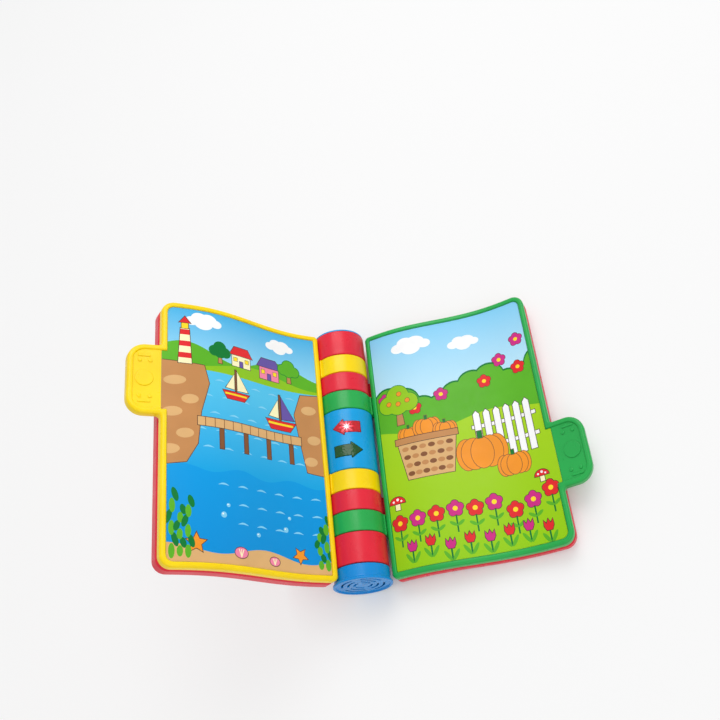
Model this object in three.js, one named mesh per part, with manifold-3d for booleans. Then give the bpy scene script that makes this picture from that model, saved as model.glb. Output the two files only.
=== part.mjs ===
// Sound book, open at its middle spread: two covers and two pages that turn on one spine tube.
// Sizes in millimetres. The spine runs along Y, +X is the back cover's side, +Z is up, the table is z = 0.
// Every leaf is drawn in the closed book, stacked on the back cover, and its group then opens it.
import * as THREE from "three";
import { mergeVertices } from "three/addons/utils/BufferGeometryUtils.js";
import Module from "manifold-3d";

const wasm = await Module();
wasm.setup();

// Clearances
const FIT = 0.3; // between two pieces that touch in the real book
const TURN_GAP = 0.4; // between a piece and one that turns past it
const LEAF_GAP = 0.6; // between two leaves of the closed book

// Spine: widths of the coloured bands from the far end to the near end, by owner
const SPINE_LENGTH = 229;
const WIDE_BAND = 26;
const NARROW_BAND = 18;
const CENTRE_BAND = 56;
const SPEAKER_CAP_BAND = 13;
const FAR_FLANGE = 1.4; // rim of the far end cap, beyond the last ring
const BAND_OWNERS = [
  ["front_cover", WIDE_BAND],
  ["yellow_page", NARROW_BAND],
  ["back_cover", NARROW_BAND],
  ["green_page", NARROW_BAND],
  ["centre", CENTRE_BAND],
  ["yellow_page", NARROW_BAND],
  ["back_cover", NARROW_BAND],
  ["green_page", NARROW_BAND],
  ["front_cover", WIDE_BAND],
  ["speaker_cap", SPEAKER_CAP_BAND],
];
const BAND_RADIUS = 22.9;
const TUBE_RADIUS = 19.2;
const TUBE_WALL = 2.4;
const RING_BORE = TUBE_RADIUS + TURN_GAP;
const CAP_LIP_RADIUS = 24.3; // the speaker cap flares out round its face
const CAP_LIP_THICKNESS = 1.6;
const FOOT_DROP = 0.3; // the flat foot stands this far below the lip
const AXIS_HEIGHT = CAP_LIP_RADIUS + FOOT_DROP;

// Speaker cap
const CAP_WALL = 2.2;
const CAP_FACE = 1.8;
const CAP_RIM = 2.2;
const CAP_DISH = 0.9; // the slotted face lies this far inside the rim
const CAP_SOCKET = 2.8; // length that sleeves over the tube
const SLOT_ROWS = 3;
const SLOT_FIRST = 7;
const SLOT_STEP = 5;
const SLOT_WIDTH = 1.8;
const SLOT_SPAN = 66; // degrees

// Leaves: all follow one wave that runs out from the spine
const SPINE_CLEARANCE = 0.9; // from the bands to a leaf's inner edge
const LEAF_START = BAND_RADIUS + SPINE_CLEARANCE;
const LEAF_END = 171.6;
const LEAF_LENGTH = 225.6;
const LEAF_SHIFT = 0.3; // the leaves' middle lies this far beyond the spine's middle
const OUTER_CORNER = 10;
const INNER_CORNER = 4;
const WAVE_HEIGHT = 5.65;
const WAVE_PHASE = THREE.MathUtils.degToRad(-8.3);
const MIDDLE_HEIGHT = -8; // the plane between the two pages, from the spine axis
const PAGE_THICKNESS = 8;
const FRONT_COVER_THICKNESS = 11;
const BACK_COVER_THICKNESS = 8;
const FRONT_COVER_OPENING = 126.4; // degrees from the closed book

// Page frames, tabs and printed cards
const RIM = 4.5;
const CARD_THICKNESS = 1;
const CARD_RECESS = 1.3; // card face below the rim
const TAB_REACH = 26;
const TAB_CORNER = 14;
const TAB_RECESS = 1.2;
const MARK_HEIGHT = 0.7;
const YELLOW_TAB = { centre: 39.5, length: 62 };
const GREEN_TAB = { centre: -41, length: 56 };

// Covers
const SHELL_WALL = 2.6;
const PANEL_THICKNESS = 3.2;

// Arrow lamps, round the spine from the back cover's side
const LAMP_ANGLE = 72;
const ARROW = { length: 23.6, head: 9.6, headWidth: 15.6, shaftWidth: 10.2 };
const RED_ARROW_Y = 16.8;
const GREEN_ARROW_Y = -4.7;
const LENS_PROUD = 0.5;

// Spine contents
const CELL = { radius: 5.25, length: 43.5, nub: 1.9, nubLength: 1 };
const CELL_ROOM = 1.5; // from a cell's nub to the cradle's end wall
const CONTACT_THICKNESS = 0.4;
const CELL_SPACING = 11.2;
const CELL_HEIGHT = -8.7;
const BOARD = { thickness: 1.6, height: 9.2 };
const LIGHT = { radius: 2.5, length: 5.8 };
const DOOR = { length: 48, halfAngle: 36 };
const FOOT = { width: 16, length: 38 };
const SPEAKER = { radius: 19.4, rim: 2.4, magnetRadius: 11, depth: 15 };
const TONGUE = { length: 2.4, thickness: 3, margin: 3 };
const MAGNET = { size: 5, thickness: 1.8 };
const MAGNET_SIDE = 20; // degrees round each ring from its leaf
const SCREW = { head: 1.5, headHeight: 1.2, shank: 0.8, length: 4.4, seat: -BAND_RADIUS + 0.2 };
const SENSOR_STRIP = { width: 6, thickness: 1.2, radius: 15 };
const SWITCH = { slotWidth: 16, slotHeight: 5, knobWidth: 7, knobHeight: 4.2, proud: 1.4, bodyWidth: 21, bodyDepth: 4 };

const ROUND_STEPS = 36;
const WAVE_STEPS = 14;

const COLOURS = {
  red: 0xe0283c,
  yellow: 0xffdd14,
  green: 0x2da84e,
  blue: 0x1482c8,
  lampRed: 0xd8202c,
  lampGreen: 0x1d4a1f,
  card: 0x5cb8e4,
  meadow: 0x6cb82c,
  metal: 0xb9bcc0,
  black: 0x1c1c1e,
  board: 0x1d6b3a,
};

function material(colour, metalness = 0) {
  return new THREE.MeshStandardMaterial({ color: COLOURS[colour], roughness: 0.35, metalness });
}

// Solids

function solidOf(geometry) {
  geometry.deleteAttribute("normal");
  geometry.deleteAttribute("uv");
  const merged = mergeVertices(geometry, 1e-4);
  return new wasm.Manifold(
    new wasm.Mesh({
      numProp: 3,
      vertProperties: merged.attributes.position.array,
      triVerts: new Uint32Array(merged.index.array),
    }),
  );
}

function meshOf(name, solid, look) {
  const made = solid.getMesh();
  const geometry = new THREE.BufferGeometry();
  geometry.setAttribute("position", new THREE.BufferAttribute(made.vertProperties, 3));
  geometry.setIndex(new THREE.BufferAttribute(made.triVerts, 1));
  geometry.computeVertexNormals();
  const mesh = new THREE.Mesh(geometry, look);
  mesh.name = name;
  return mesh;
}

function box(xRange, yRange, zRange) {
  const size = [xRange, yRange, zRange].map(([low, high]) => high - low);
  const middle = [xRange, yRange, zRange].map(([low, high]) => (high + low) / 2);
  return solidOf(new THREE.BoxGeometry(...size).translate(...middle));
}

// An upright prism over a plan shape.
function prism(shape, zRange, curveSegments = 6) {
  const depth = zRange[1] - zRange[0];
  const geometry = new THREE.ExtrudeGeometry(shape, { depth, bevelEnabled: false, curveSegments });
  return solidOf(geometry.translate(0, 0, zRange[0]));
}

// A turned piece on the spine axis, from its profile as [radius, y] pairs listed with the metal on the left.
function turned(profile, steps = ROUND_STEPS) {
  const points = [...profile, profile[0]].map(([radius, y]) => new THREE.Vector2(radius, y));
  return solidOf(new THREE.LatheGeometry(points, steps));
}

function pipe(outer, inner, yRange) {
  return turned([
    [inner, yRange[0]],
    [outer, yRange[0]],
    [outer, yRange[1]],
    [inner, yRange[1]],
  ]);
}

function rod(radius, yRange, steps = ROUND_STEPS) {
  return solidOf(
    new THREE.CylinderGeometry(radius, radius, yRange[1] - yRange[0], steps).translate(
      0,
      (yRange[0] + yRange[1]) / 2,
      0,
    ),
  );
}

function roundedRectangle([x0, x1], [y0, y1], corners) {
  const [nearLeft, nearRight, farRight, farLeft] = corners;
  const shape = new THREE.Shape();
  shape.moveTo(x0 + nearLeft, y0);
  shape.lineTo(x1 - nearRight, y0);
  shape.absarc(x1 - nearRight, y0 + nearRight, nearRight, -Math.PI / 2, 0);
  shape.lineTo(x1, y1 - farRight);
  shape.absarc(x1 - farRight, y1 - farRight, farRight, 0, Math.PI / 2);
  shape.lineTo(x0 + farLeft, y1);
  shape.absarc(x0 + farLeft, y1 - farLeft, farLeft, Math.PI / 2, Math.PI);
  shape.lineTo(x0, y0 + nearLeft);
  shape.absarc(x0 + nearLeft, y0 + nearLeft, nearLeft, Math.PI, Math.PI * 1.5);
  return shape;
}

// Bands of the spine

const bands = [];
let bandEdge = SPINE_LENGTH / 2;
for (const [owner, width] of BAND_OWNERS) {
  bands.push({ owner, near: bandEdge - width, far: bandEdge });
  bandEdge -= width;
}
const bandsOf = (owner) => bands.filter((band) => band.owner === owner);
const ringEnd = SPINE_LENGTH / 2 - FAR_FLANGE;
const inset = (band, gap) => [band.near + gap, Math.min(band.far, ringEnd) - gap];
const centreBand = bandsOf("centre")[0];
const capBand = bandsOf("speaker_cap")[0];
const centreY = (centreBand.near + centreBand.far) / 2;

// Leaves of the closed book

const HALF_GAP = LEAF_GAP / 2;
const greenPage = { low: -HALF_GAP - PAGE_THICKNESS, high: -HALF_GAP, tab: GREEN_TAB, ringStart: 20.5 };
const yellowPage = { low: HALF_GAP, high: HALF_GAP + PAGE_THICKNESS, tab: YELLOW_TAB, ringStart: 20.5 };
const backCover = {
  low: greenPage.low - LEAF_GAP - BACK_COVER_THICKNESS,
  high: greenPage.low - LEAF_GAP,
  ringStart: 9,
};
const frontCover = {
  low: yellowPage.high + LEAF_GAP,
  high: yellowPage.high + LEAF_GAP + FRONT_COVER_THICKNESS,
  ringStart: 15,
};

const TALL = [-60, 60];
const BEYOND = 3; // cuts run this far past a face

function middle(u) {
  const at = Math.max(u, LEAF_START);
  return MIDDLE_HEIGHT + WAVE_HEIGHT * Math.sin((2 * Math.PI * at) / LEAF_END + WAVE_PHASE);
}

// Degrees by which the back cover leans up from the spine when the low part of its wave rests on the table.
function restingTilt() {
  let tilt = 0;
  for (let u = LEAF_START; u <= LEAF_END; u++) {
    const under = middle(u) + backCover.low;
    const lean = Math.atan2(-under, u) - Math.asin(AXIS_HEIGHT / Math.hypot(u, under));
    tilt = Math.max(tilt, lean);
  }
  return THREE.MathUtils.radToDeg(tilt);
}

// The layer between two heights above the middle surface, over the whole leaf.
function layer(low, high) {
  const stations = [5];
  const reach = LEAF_END + TAB_REACH + BEYOND;
  for (let i = 0; i <= WAVE_STEPS; i++) stations.push(LEAF_START + ((reach - LEAF_START) * i) / WAVE_STEPS);
  const shape = new THREE.Shape();
  stations.forEach((u, i) => {
    if (i) shape.lineTo(u, middle(u) + low);
    else shape.moveTo(u, middle(u) + low);
  });
  for (const u of stations.reverse()) shape.lineTo(u, middle(u) + high);
  const depth = SPINE_LENGTH + 20;
  const geometry = new THREE.ExtrudeGeometry(shape, { depth, bevelEnabled: false });
  return solidOf(geometry.rotateX(Math.PI / 2).translate(0, depth / 2, 0));
}

// The layer that lies between two depths below one face of a leaf.
function depthLayer(leaf, face, from, to) {
  if (face === "high") return layer(leaf.high - to, leaf.high - from);
  return layer(leaf.low + from, leaf.low + to);
}

function leafPlan(shrink) {
  const outer = Math.max(OUTER_CORNER - shrink, 1);
  const inner = Math.max(INNER_CORNER - shrink, 1);
  const shape = roundedRectangle(
    [LEAF_START + shrink, LEAF_END - shrink],
    [LEAF_SHIFT - LEAF_LENGTH / 2 + shrink, LEAF_SHIFT + LEAF_LENGTH / 2 - shrink],
    [inner, outer, outer, inner],
  );
  return prism(shape, TALL);
}

function tabPlan(tab, shrink) {
  const corner = TAB_CORNER - shrink;
  const half = tab.length / 2 - shrink;
  const shape = roundedRectangle(
    [LEAF_END - OUTER_CORNER, LEAF_END + TAB_REACH - shrink],
    [tab.centre - half, tab.centre + half],
    [1, corner, corner, 1],
  );
  return prism(shape, TALL);
}

// The card fills the rim and runs out to the leaf's edge at the tab's neck.
function cardPlan(leaf, shrink) {
  const plan = leafPlan(shrink);
  if (!leaf.tab) return plan;
  const half = leaf.tab.length / 2 - shrink;
  const neck = [LEAF_END - 2 * RIM, LEAF_END + RIM - shrink];
  return plan.add(box(neck, [leaf.tab.centre - half, leaf.tab.centre + half], TALL));
}

// A ring's tongue, or with grow the slot for it in the leaf's inner edge.
function tongue(leaf, band, grow) {
  const core = (leaf.low + leaf.high) / 2;
  const half = TONGUE.thickness / 2 + grow;
  const [near, far] = inset(band, TONGUE.margin - grow);
  const reach = [LEAF_START - 1, LEAF_START + TONGUE.length + grow];
  return layer(core - half, core + half).intersect(box(reach, [near, far], TALL));
}

// The hinge rings of a leaf, each with a shoulder up to the leaf's inner edge and a tongue that plugs into it.
function hingeRings(leaf, owner) {
  return bandsOf(owner).map((band) => {
    const span = inset(band, TURN_GAP / 2);
    const shoulder = layer(leaf.low, leaf.high)
      .intersect(box([leaf.ringStart, LEAF_START - FIT], span, TALL))
      .subtract(rod(RING_BORE, [span[0] - 1, span[1] + 1]));
    return pipe(BAND_RADIUS, RING_BORE, span).add(shoulder).add(tongue(leaf, band, 0));
  });
}

function cutTongueSlots(solid, leaf, owner) {
  return bandsOf(owner).reduce((made, band) => made.subtract(tongue(leaf, band, FIT)), solid);
}

// A pocket in a ring's bore for a magnet, and the magnet, both turned to their place round the ring.
function magnetBlock(owner, grow) {
  const band = bandsOf(owner)[1];
  const y = (band.near + band.far) / 2;
  const half = MAGNET.size / 2 + grow;
  const start = RING_BORE + FIT - 3 * grow;
  return box([start, RING_BORE + FIT + MAGNET.thickness + grow], [y - half, y + half], [-half, half]).rotate([
    0,
    -MAGNET_SIDE - 90,
    0,
  ]);
}

// Raised marks on a tab: a button disc with small dots and bars above and below it.
function tabMarks(leaf, face) {
  const u = LEAF_END + TAB_REACH / 2;
  const y = leaf.tab.centre;
  const plans = [prism(new THREE.Shape().absarc(u, y, 7, 0, 2 * Math.PI), TALL, 10)];
  for (const side of [-1, 1]) {
    for (const shift of [-4.5, 3.5]) {
      plans.push(prism(new THREE.Shape().absarc(u + shift, y + side * 16, 1.6, 0, 2 * Math.PI), TALL, 5));
    }
    const bar = roundedRectangle([u - 5, u + 5], [y + side * 20.5 - 1, y + side * 20.5 + 1], [1, 1, 1, 1]);
    plans.push(prism(bar, TALL, 3));
  }
  const level = depthLayer(leaf, face, TAB_RECESS - MARK_HEIGHT, TAB_RECESS + 0.5);
  return plans.map((plan) => plan.intersect(level));
}

function pageFrame(page, owner, seenFace) {
  let frame = layer(page.low, page.high).intersect(leafPlan(0).add(tabPlan(page.tab, 0)));
  for (const face of ["low", "high"]) {
    const pocket = depthLayer(page, face, -BEYOND, CARD_RECESS + CARD_THICKNESS + FIT);
    frame = frame.subtract(cardPlan(page, RIM).intersect(pocket));
    frame = frame.subtract(tabPlan(page.tab, RIM).intersect(depthLayer(page, face, -BEYOND, TAB_RECESS)));
  }
  for (const mark of tabMarks(page, seenFace)) frame = frame.add(mark);
  return cutTongueSlots(frame, page, owner);
}

function card(leaf, face, shrink) {
  return cardPlan(leaf, shrink).intersect(depthLayer(leaf, face, CARD_RECESS, CARD_RECESS + CARD_THICKNESS));
}

// A cover is a shell with walls, and a panel inside the walls that holds a printed card.
function coverShell(cover, innerFace, owner) {
  const thickness = cover.high - cover.low;
  const hollow = depthLayer(cover, innerFace, -BEYOND, thickness - SHELL_WALL);
  const shell = layer(cover.low, cover.high).intersect(leafPlan(0)).subtract(leafPlan(SHELL_WALL).intersect(hollow));
  return cutTongueSlots(shell, cover, owner);
}

function coverPanel(cover, innerFace) {
  const panel = leafPlan(SHELL_WALL + FIT).intersect(depthLayer(cover, innerFace, 0, PANEL_THICKNESS));
  const pocket = depthLayer(cover, innerFace, -BEYOND, CARD_RECESS + CARD_THICKNESS + FIT / 2);
  return panel.subtract(leafPlan(RIM + SHELL_WALL).intersect(pocket));
}

// Spine pieces

const LAMP_TURN = [0, 90 - LAMP_ANGLE, 0];
const insideTube = TUBE_RADIUS - TUBE_WALL;
const housingScrews = [centreBand.near + 1.8, centreBand.far - 1.8];
const doorScrew = centreY + 22;
const tubeEnds = [capBand.far - 2.5, SPINE_LENGTH / 2 - 1.8];

// Half the width of the tube's bore at a height from its axis.
function chordInTube(height) {
  return Math.sqrt(insideTube ** 2 - height ** 2);
}

function arrowPlan(y, side, grow) {
  const tip = ARROW.length / 2 + 1.6 * grow;
  const neck = ARROW.length / 2 - ARROW.head - grow;
  const tail = -ARROW.length / 2 - grow;
  const barb = ARROW.headWidth / 2 + 1.6 * grow;
  const shaft = ARROW.shaftWidth / 2 + grow;
  const outline = [
    [tip, 0],
    [neck, barb],
    [neck, shaft],
    [tail, shaft],
    [tail, -shaft],
    [neck, -shaft],
    [neck, -barb],
  ];
  const points = outline.map(([along, across]) => new THREE.Vector2(side * along, y + across));
  return prism(new THREE.Shape(points), [0, 40]);
}

function arrowLens(y, side) {
  const shell = pipe(BAND_RADIUS + LENS_PROUD, RING_BORE, inset(centreBand, 1));
  return arrowPlan(y, side, 0).intersect(shell).rotate(LAMP_TURN);
}

function doorWedge(grow) {
  const span = [centreY - DOOR.length / 2 - grow, centreY + DOOR.length / 2 + grow];
  const reach = 40;
  const spread = reach * Math.tan(THREE.MathUtils.degToRad(DOOR.halfAngle)) + grow;
  const shape = new THREE.Shape([
    new THREE.Vector2(0, 0),
    new THREE.Vector2(-spread, -reach),
    new THREE.Vector2(spread, -reach),
  ]);
  const depth = span[1] - span[0];
  const geometry = new THREE.ExtrudeGeometry(shape, { depth, bevelEnabled: false });
  return solidOf(geometry.rotateX(Math.PI / 2).translate(0, span[1], 0));
}

// An upright cylinder under the spine axis at y.
function post(radius, y, zRange, steps = 16) {
  const geometry = new THREE.CylinderGeometry(radius, radius, zRange[1] - zRange[0], steps);
  return solidOf(geometry.rotateX(Math.PI / 2).translate(0, y, (zRange[0] + zRange[1]) / 2));
}

// Screws come up from below: head, shank, and the same shape grown for its hole.
function screw(y, grow = 0) {
  const headTop = SCREW.seat + SCREW.headHeight;
  const head = post(SCREW.head + grow, y, [grow ? -AXIS_HEIGHT - 1 : SCREW.seat, headTop + grow]);
  const shank = post(SCREW.shank + grow, y, [headTop - 0.2, headTop + SCREW.length + 4 * grow]);
  return head.add(shank);
}

function housing() {
  const shell = pipe(BAND_RADIUS, RING_BORE, inset(centreBand, TURN_GAP / 2));
  const upper = box([-40, 40], [-120, 120], [FIT / 2, 40]).rotate(LAMP_TURN);
  const lower = box([-40, 40], [-120, 120], [-40, -FIT / 2]).rotate(LAMP_TURN);
  const windows = arrowPlan(RED_ARROW_Y, -1, FIT).add(arrowPlan(GREEN_ARROW_Y, 1, FIT)).rotate(LAMP_TURN);
  return {
    top: shell.intersect(upper).subtract(windows),
    bottom: housingScrews.reduce((made, y) => made.subtract(screw(y, FIT)), shell.intersect(lower).subtract(doorWedge(FIT))),
  };
}

function tube() {
  const lampWindow = box([-11, 11], [centreY - 25, centreY + 25], [6, 30]).rotate(LAMP_TURN);
  const doorWindow = box([-12, 12], [centreY - 24.4, centreY + 19.8], [-30, -8]);
  const bored = pipe(TUBE_RADIUS, insideTube, tubeEnds).subtract(lampWindow).subtract(doorWindow);
  return [...housingScrews, doorScrew].reduce((made, y) => made.subtract(screw(y, FIT)), bored);
}

function batteryDoor() {
  const shell = pipe(BAND_RADIUS, RING_BORE, inset(centreBand, 1)).intersect(doorWedge(0));
  const foot = box(
    [-FOOT.width / 2, FOOT.width / 2],
    [centreY - FOOT.length / 2, centreY + FOOT.length / 2],
    [-AXIS_HEIGHT, -RING_BORE - 0.4],
  );
  return shell.add(foot.intersect(doorWedge(0))).subtract(screw(doorScrew, FIT));
}

function cell(side, turnedRound) {
  const half = CELL.length / 2;
  const body = turned(
    [
      [0, -half],
      [CELL.radius, -half],
      [CELL.radius, half],
      [CELL.nub, half],
      [CELL.nub, half + CELL.nubLength],
      [0, half + CELL.nubLength],
    ],
    24,
  );
  return body
    .rotate([0, 0, turnedRound ? 180 : 0])
    .translate([(side * CELL_SPACING) / 2, centreY, CELL_HEIGHT]);
}

function cradle() {
  const half = CELL.length / 2 + CELL.nubLength + CELL_ROOM;
  const top = CELL_HEIGHT + CELL.radius + FIT;
  const side = chordInTube(top) - FIT;
  const floor = box([-side, side], [centreY - half - 1.2, centreY + half + 1.2], [top, top + 1.2]);
  const walls = [-1, 1].map((side) => {
    const y = centreY + side * (half + 0.6);
    return box([-9, 9], [y - 0.6, y + 0.6], [CELL_HEIGHT - 2.5, top + 0.6]);
  });
  return floor.add(walls[0]).add(walls[1]);
}

// A contact plate across both cells: a low bump under the nub of one, a longer cone under the base of the other.
function contactPlate(end) {
  const back = CELL.length / 2 + CELL.nubLength + CELL_ROOM - FIT;
  const front = back - CONTACT_THICKNESS;
  const span = [centreY + end * back, centreY + end * front].sort((a, b) => a - b);
  let plate = box([-8.6, 8.6], span, [CELL_HEIGHT - 2.4, CELL_HEIGHT + 3.4]);
  for (const side of [-1, 1]) {
    const base = side === -end ? CELL.nubLength : 0;
    const reach = front - CELL.length / 2 - base - FIT;
    const [wide, narrow] = [1.8, 1];
    const cone = solidOf(new THREE.CylinderGeometry(end > 0 ? wide : narrow, end > 0 ? narrow : wide, reach + 0.1, 12));
    const y = centreY + end * (front + 0.1 - (reach + 0.1) / 2);
    plate = plate.add(cone.translate([(side * CELL_SPACING) / 2, y, CELL_HEIGHT]));
  }
  return plate;
}

// The narrow board inside the tube, with one sensor chip under each leaf's magnet.
function sensorStrip() {
  const { width, thickness, radius } = SENSOR_STRIP;
  const magnetBands = ["yellow_page", "green_page", "front_cover"].map((owner) => bandsOf(owner)[1]);
  const spots = magnetBands.map((band) => (band.near + band.far) / 2);
  let strip = box([radius, radius + thickness], [spots[2] - 4, spots[0] + 6], [-width / 2, width / 2]);
  for (const y of spots) strip = strip.add(box([radius - 1, radius + 0.2], [y - 1.5, y + 1.5], [-2, 2]));
  return strip.rotate([0, -MAGNET_SIDE - 90, 0]);
}

function speakerCap() {
  const face = -SPINE_LENGTH / 2;
  const bore = BAND_RADIUS - CAP_WALL;
  let cap = turned([
    [0, face + CAP_DISH],
    [CAP_LIP_RADIUS - CAP_RIM, face + CAP_DISH],
    [CAP_LIP_RADIUS - CAP_RIM, face],
    [CAP_LIP_RADIUS - 0.5, face],
    [CAP_LIP_RADIUS, face + 0.5],
    [CAP_LIP_RADIUS, face + CAP_LIP_THICKNESS - 0.5],
    [BAND_RADIUS, face + CAP_LIP_THICKNESS],
    [BAND_RADIUS, capBand.far - TURN_GAP],
    [RING_BORE, capBand.far - TURN_GAP],
    [RING_BORE, capBand.far - CAP_SOCKET],
    [bore, capBand.far - CAP_SOCKET],
    [bore, face + CAP_DISH + CAP_FACE],
    [0, face + CAP_DISH + CAP_FACE],
  ]);
  for (let row = 0; row < SLOT_ROWS; row++) {
    const radius = SLOT_FIRST + row * SLOT_STEP;
    const span = (SLOT_SPAN * Math.PI) / 180;
    for (const start of [Math.PI / 4, (3 * Math.PI) / 4, (5 * Math.PI) / 4, (7 * Math.PI) / 4]) {
      const shape = new THREE.Shape();
      shape.absarc(0, 0, radius + SLOT_WIDTH / 2, start - span / 2, start + span / 2);
      shape.absarc(0, 0, radius - SLOT_WIDTH / 2, start + span / 2, start - span / 2, true);
      const slot = prism(shape, [0, CAP_DISH + CAP_FACE + 1], 5).rotate([90, 0, 0]);
      cap = cap.subtract(slot.translate([0, face + CAP_DISH + CAP_FACE + 0.5, 0]));
    }
  }
  return cap;
}

function speaker() {
  const front = -SPINE_LENGTH / 2 + CAP_DISH + CAP_FACE + FIT;
  const { radius, rim, magnetRadius, depth } = SPEAKER;
  return turned([
    [0, front + 3.2],
    [5, front + 2.4],
    [radius - 3.4, front + 0.8],
    [radius - 2, front],
    [radius, front],
    [radius, front + rim],
    [radius - 3.5, front + rim],
    [magnetRadius, front + 8],
    [magnetRadius, front + depth],
    [0, front + depth],
  ]);
}

const end = SPINE_LENGTH / 2;
const knobPlate = 1.4;
const switchFront = end - FAR_FLANGE - 2 * FIT - knobPlate;

function farCap() {
  const { slotWidth, slotHeight } = SWITCH;
  const cap = turned([
    [0, end - FAR_FLANGE],
    [insideTube - 2.6, end - FAR_FLANGE],
    [insideTube - 2.6, end - 9],
    [insideTube - FIT, end - 9],
    [insideTube - FIT, end - FAR_FLANGE],
    [BAND_RADIUS - 0.5, end - FAR_FLANGE],
    [BAND_RADIUS - 0.5, end],
    [0, end],
  ]);
  const slot = box([-slotWidth / 2, slotWidth / 2], [end - 3, end + 1], [-slotHeight / 2, slotHeight / 2]);
  const posts = [-1, 1].map((side) =>
    box([side * 9.6 - 1, side * 9.6 + 1], [switchFront + FIT, end - FAR_FLANGE + 0.2], [-3, 3]),
  );
  return cap.add(posts[0]).add(posts[1]).subtract(slot);
}

function switchBody() {
  const half = SWITCH.bodyWidth / 2;
  return box([-half, half], [switchFront - SWITCH.bodyDepth, switchFront], [-4, 4]);
}

function switchKnob() {
  const half = SWITCH.knobWidth / 2;
  const tall = SWITCH.knobHeight / 2;
  const x = -(SWITCH.slotWidth - SWITCH.knobWidth) / 2 + FIT;
  const back = end - FAR_FLANGE - FIT;
  const grip = box([x - half, x + half], [back - 1, end + SWITCH.proud], [-tall, tall]);
  const plate = box([x - half, x + half], [back - knobPlate, back], [-tall - 1.5, tall + 1.5]);
  return grip.add(plate);
}

// The assembly

const book = new THREE.Group();
book.name = "sound_book";
const spine = new THREE.Group();
spine.position.z = AXIS_HEIGHT;
book.add(spine);

function opened(parent, degrees) {
  const group = new THREE.Group();
  group.rotation.y = THREE.MathUtils.degToRad(-degrees);
  parent.add(group);
  return group;
}

const right = opened(spine, restingTilt());
const left = opened(spine, restingTilt() + FRONT_COVER_OPENING);
const red = material("red");
const yellow = material("yellow");
const green = material("green");
const blue = material("blue");
const metal = material("metal", 0.9);
const black = material("black");

function addRings(group, leaf, owner, look) {
  const [far, near] = hingeRings(leaf, owner);
  group.add(meshOf(owner + "_ring_far", far, look));
  if (owner === "back_cover") {
    group.add(meshOf(owner + "_ring_near", near, look));
    return;
  }
  group.add(meshOf(owner + "_ring_near", near.subtract(magnetBlock(owner, FIT)), look));
  group.add(meshOf(owner + "_magnet", magnetBlock(owner, 0), metal));
}

function addCover(group, cover, innerFace, owner) {
  addRings(group, cover, owner, red);
  group.add(meshOf(owner + "_shell", coverShell(cover, innerFace, owner), red));
  group.add(meshOf(owner + "_panel", coverPanel(cover, innerFace), red));
  group.add(meshOf(owner + "_card", card(cover, innerFace, RIM + SHELL_WALL + FIT), material("card")));
}

function addPage(group, page, owner, seenFace, look, print) {
  addRings(group, page, owner, look);
  group.add(meshOf(owner + "_frame", pageFrame(page, owner, seenFace), look));
  group.add(meshOf(owner + "_card_front", card(page, seenFace, RIM + FIT), material(print)));
  const otherFace = seenFace === "high" ? "low" : "high";
  group.add(meshOf(owner + "_card_back", card(page, otherFace, RIM + FIT), material(print)));
}

addCover(right, backCover, "high", "back_cover");
addPage(right, greenPage, "green_page", "high", green, "meadow");
addCover(left, frontCover, "low", "front_cover");
addPage(left, yellowPage, "yellow_page", "low", yellow, "card");
const shells = housing();
spine.add(meshOf("spine_tube", tube(), blue));
spine.add(meshOf("centre_housing_top", shells.top, blue));
spine.add(meshOf("centre_housing_bottom", shells.bottom, blue));
spine.add(meshOf("red_arrow_lens", arrowLens(RED_ARROW_Y, -1), material("lampRed")));
spine.add(meshOf("green_arrow_lens", arrowLens(GREEN_ARROW_Y, 1), material("lampGreen")));
spine.add(meshOf("battery_door", batteryDoor(), blue));
spine.add(meshOf("speaker_cap", speakerCap(), blue));
spine.add(meshOf("speaker", speaker(), black));
spine.add(meshOf("far_end_cap", farCap(), blue));
spine.add(meshOf("power_switch_knob", switchKnob(), black));
spine.add(meshOf("power_switch_body", switchBody(), black));
spine.add(meshOf("page_sensor_strip", sensorStrip(), material("board")));
spine.add(meshOf("battery_door_screw", screw(doorScrew), metal));
spine.add(meshOf("housing_screw_near", screw(housingScrews[0]), metal));
spine.add(meshOf("housing_screw_far", screw(housingScrews[1]), metal));
spine.add(meshOf("cell_left", cell(-1, false), metal));
spine.add(meshOf("cell_right", cell(1, true), metal));
spine.add(meshOf("cell_cradle", cradle(), black));
spine.add(meshOf("spring_plate", contactPlate(-1), metal));
spine.add(meshOf("contact_plate", contactPlate(1), metal));

const boardSpan = [centreY - 25.5, centreY + 25.5];
const boardTop = BOARD.height + BOARD.thickness;
const boardSide = chordInTube(boardTop) - FIT;
const board = box([-boardSide, boardSide], boardSpan, [BOARD.height, boardTop]);
spine.add(meshOf("circuit_board", board.rotate(LAMP_TURN), material("board")));
for (const [name, y, look] of [
  ["red_light", RED_ARROW_Y, "lampRed"],
  ["green_light", GREEN_ARROW_Y, "lampGreen"],
]) {
  const body = rod(LIGHT.radius, [0, LIGHT.length], 20)
    .rotate([90, 0, 0])
    .translate([0, y, boardTop + FIT]);
  spine.add(meshOf(name, body.rotate(LAMP_TURN), material(look)));
}

export default book;
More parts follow.
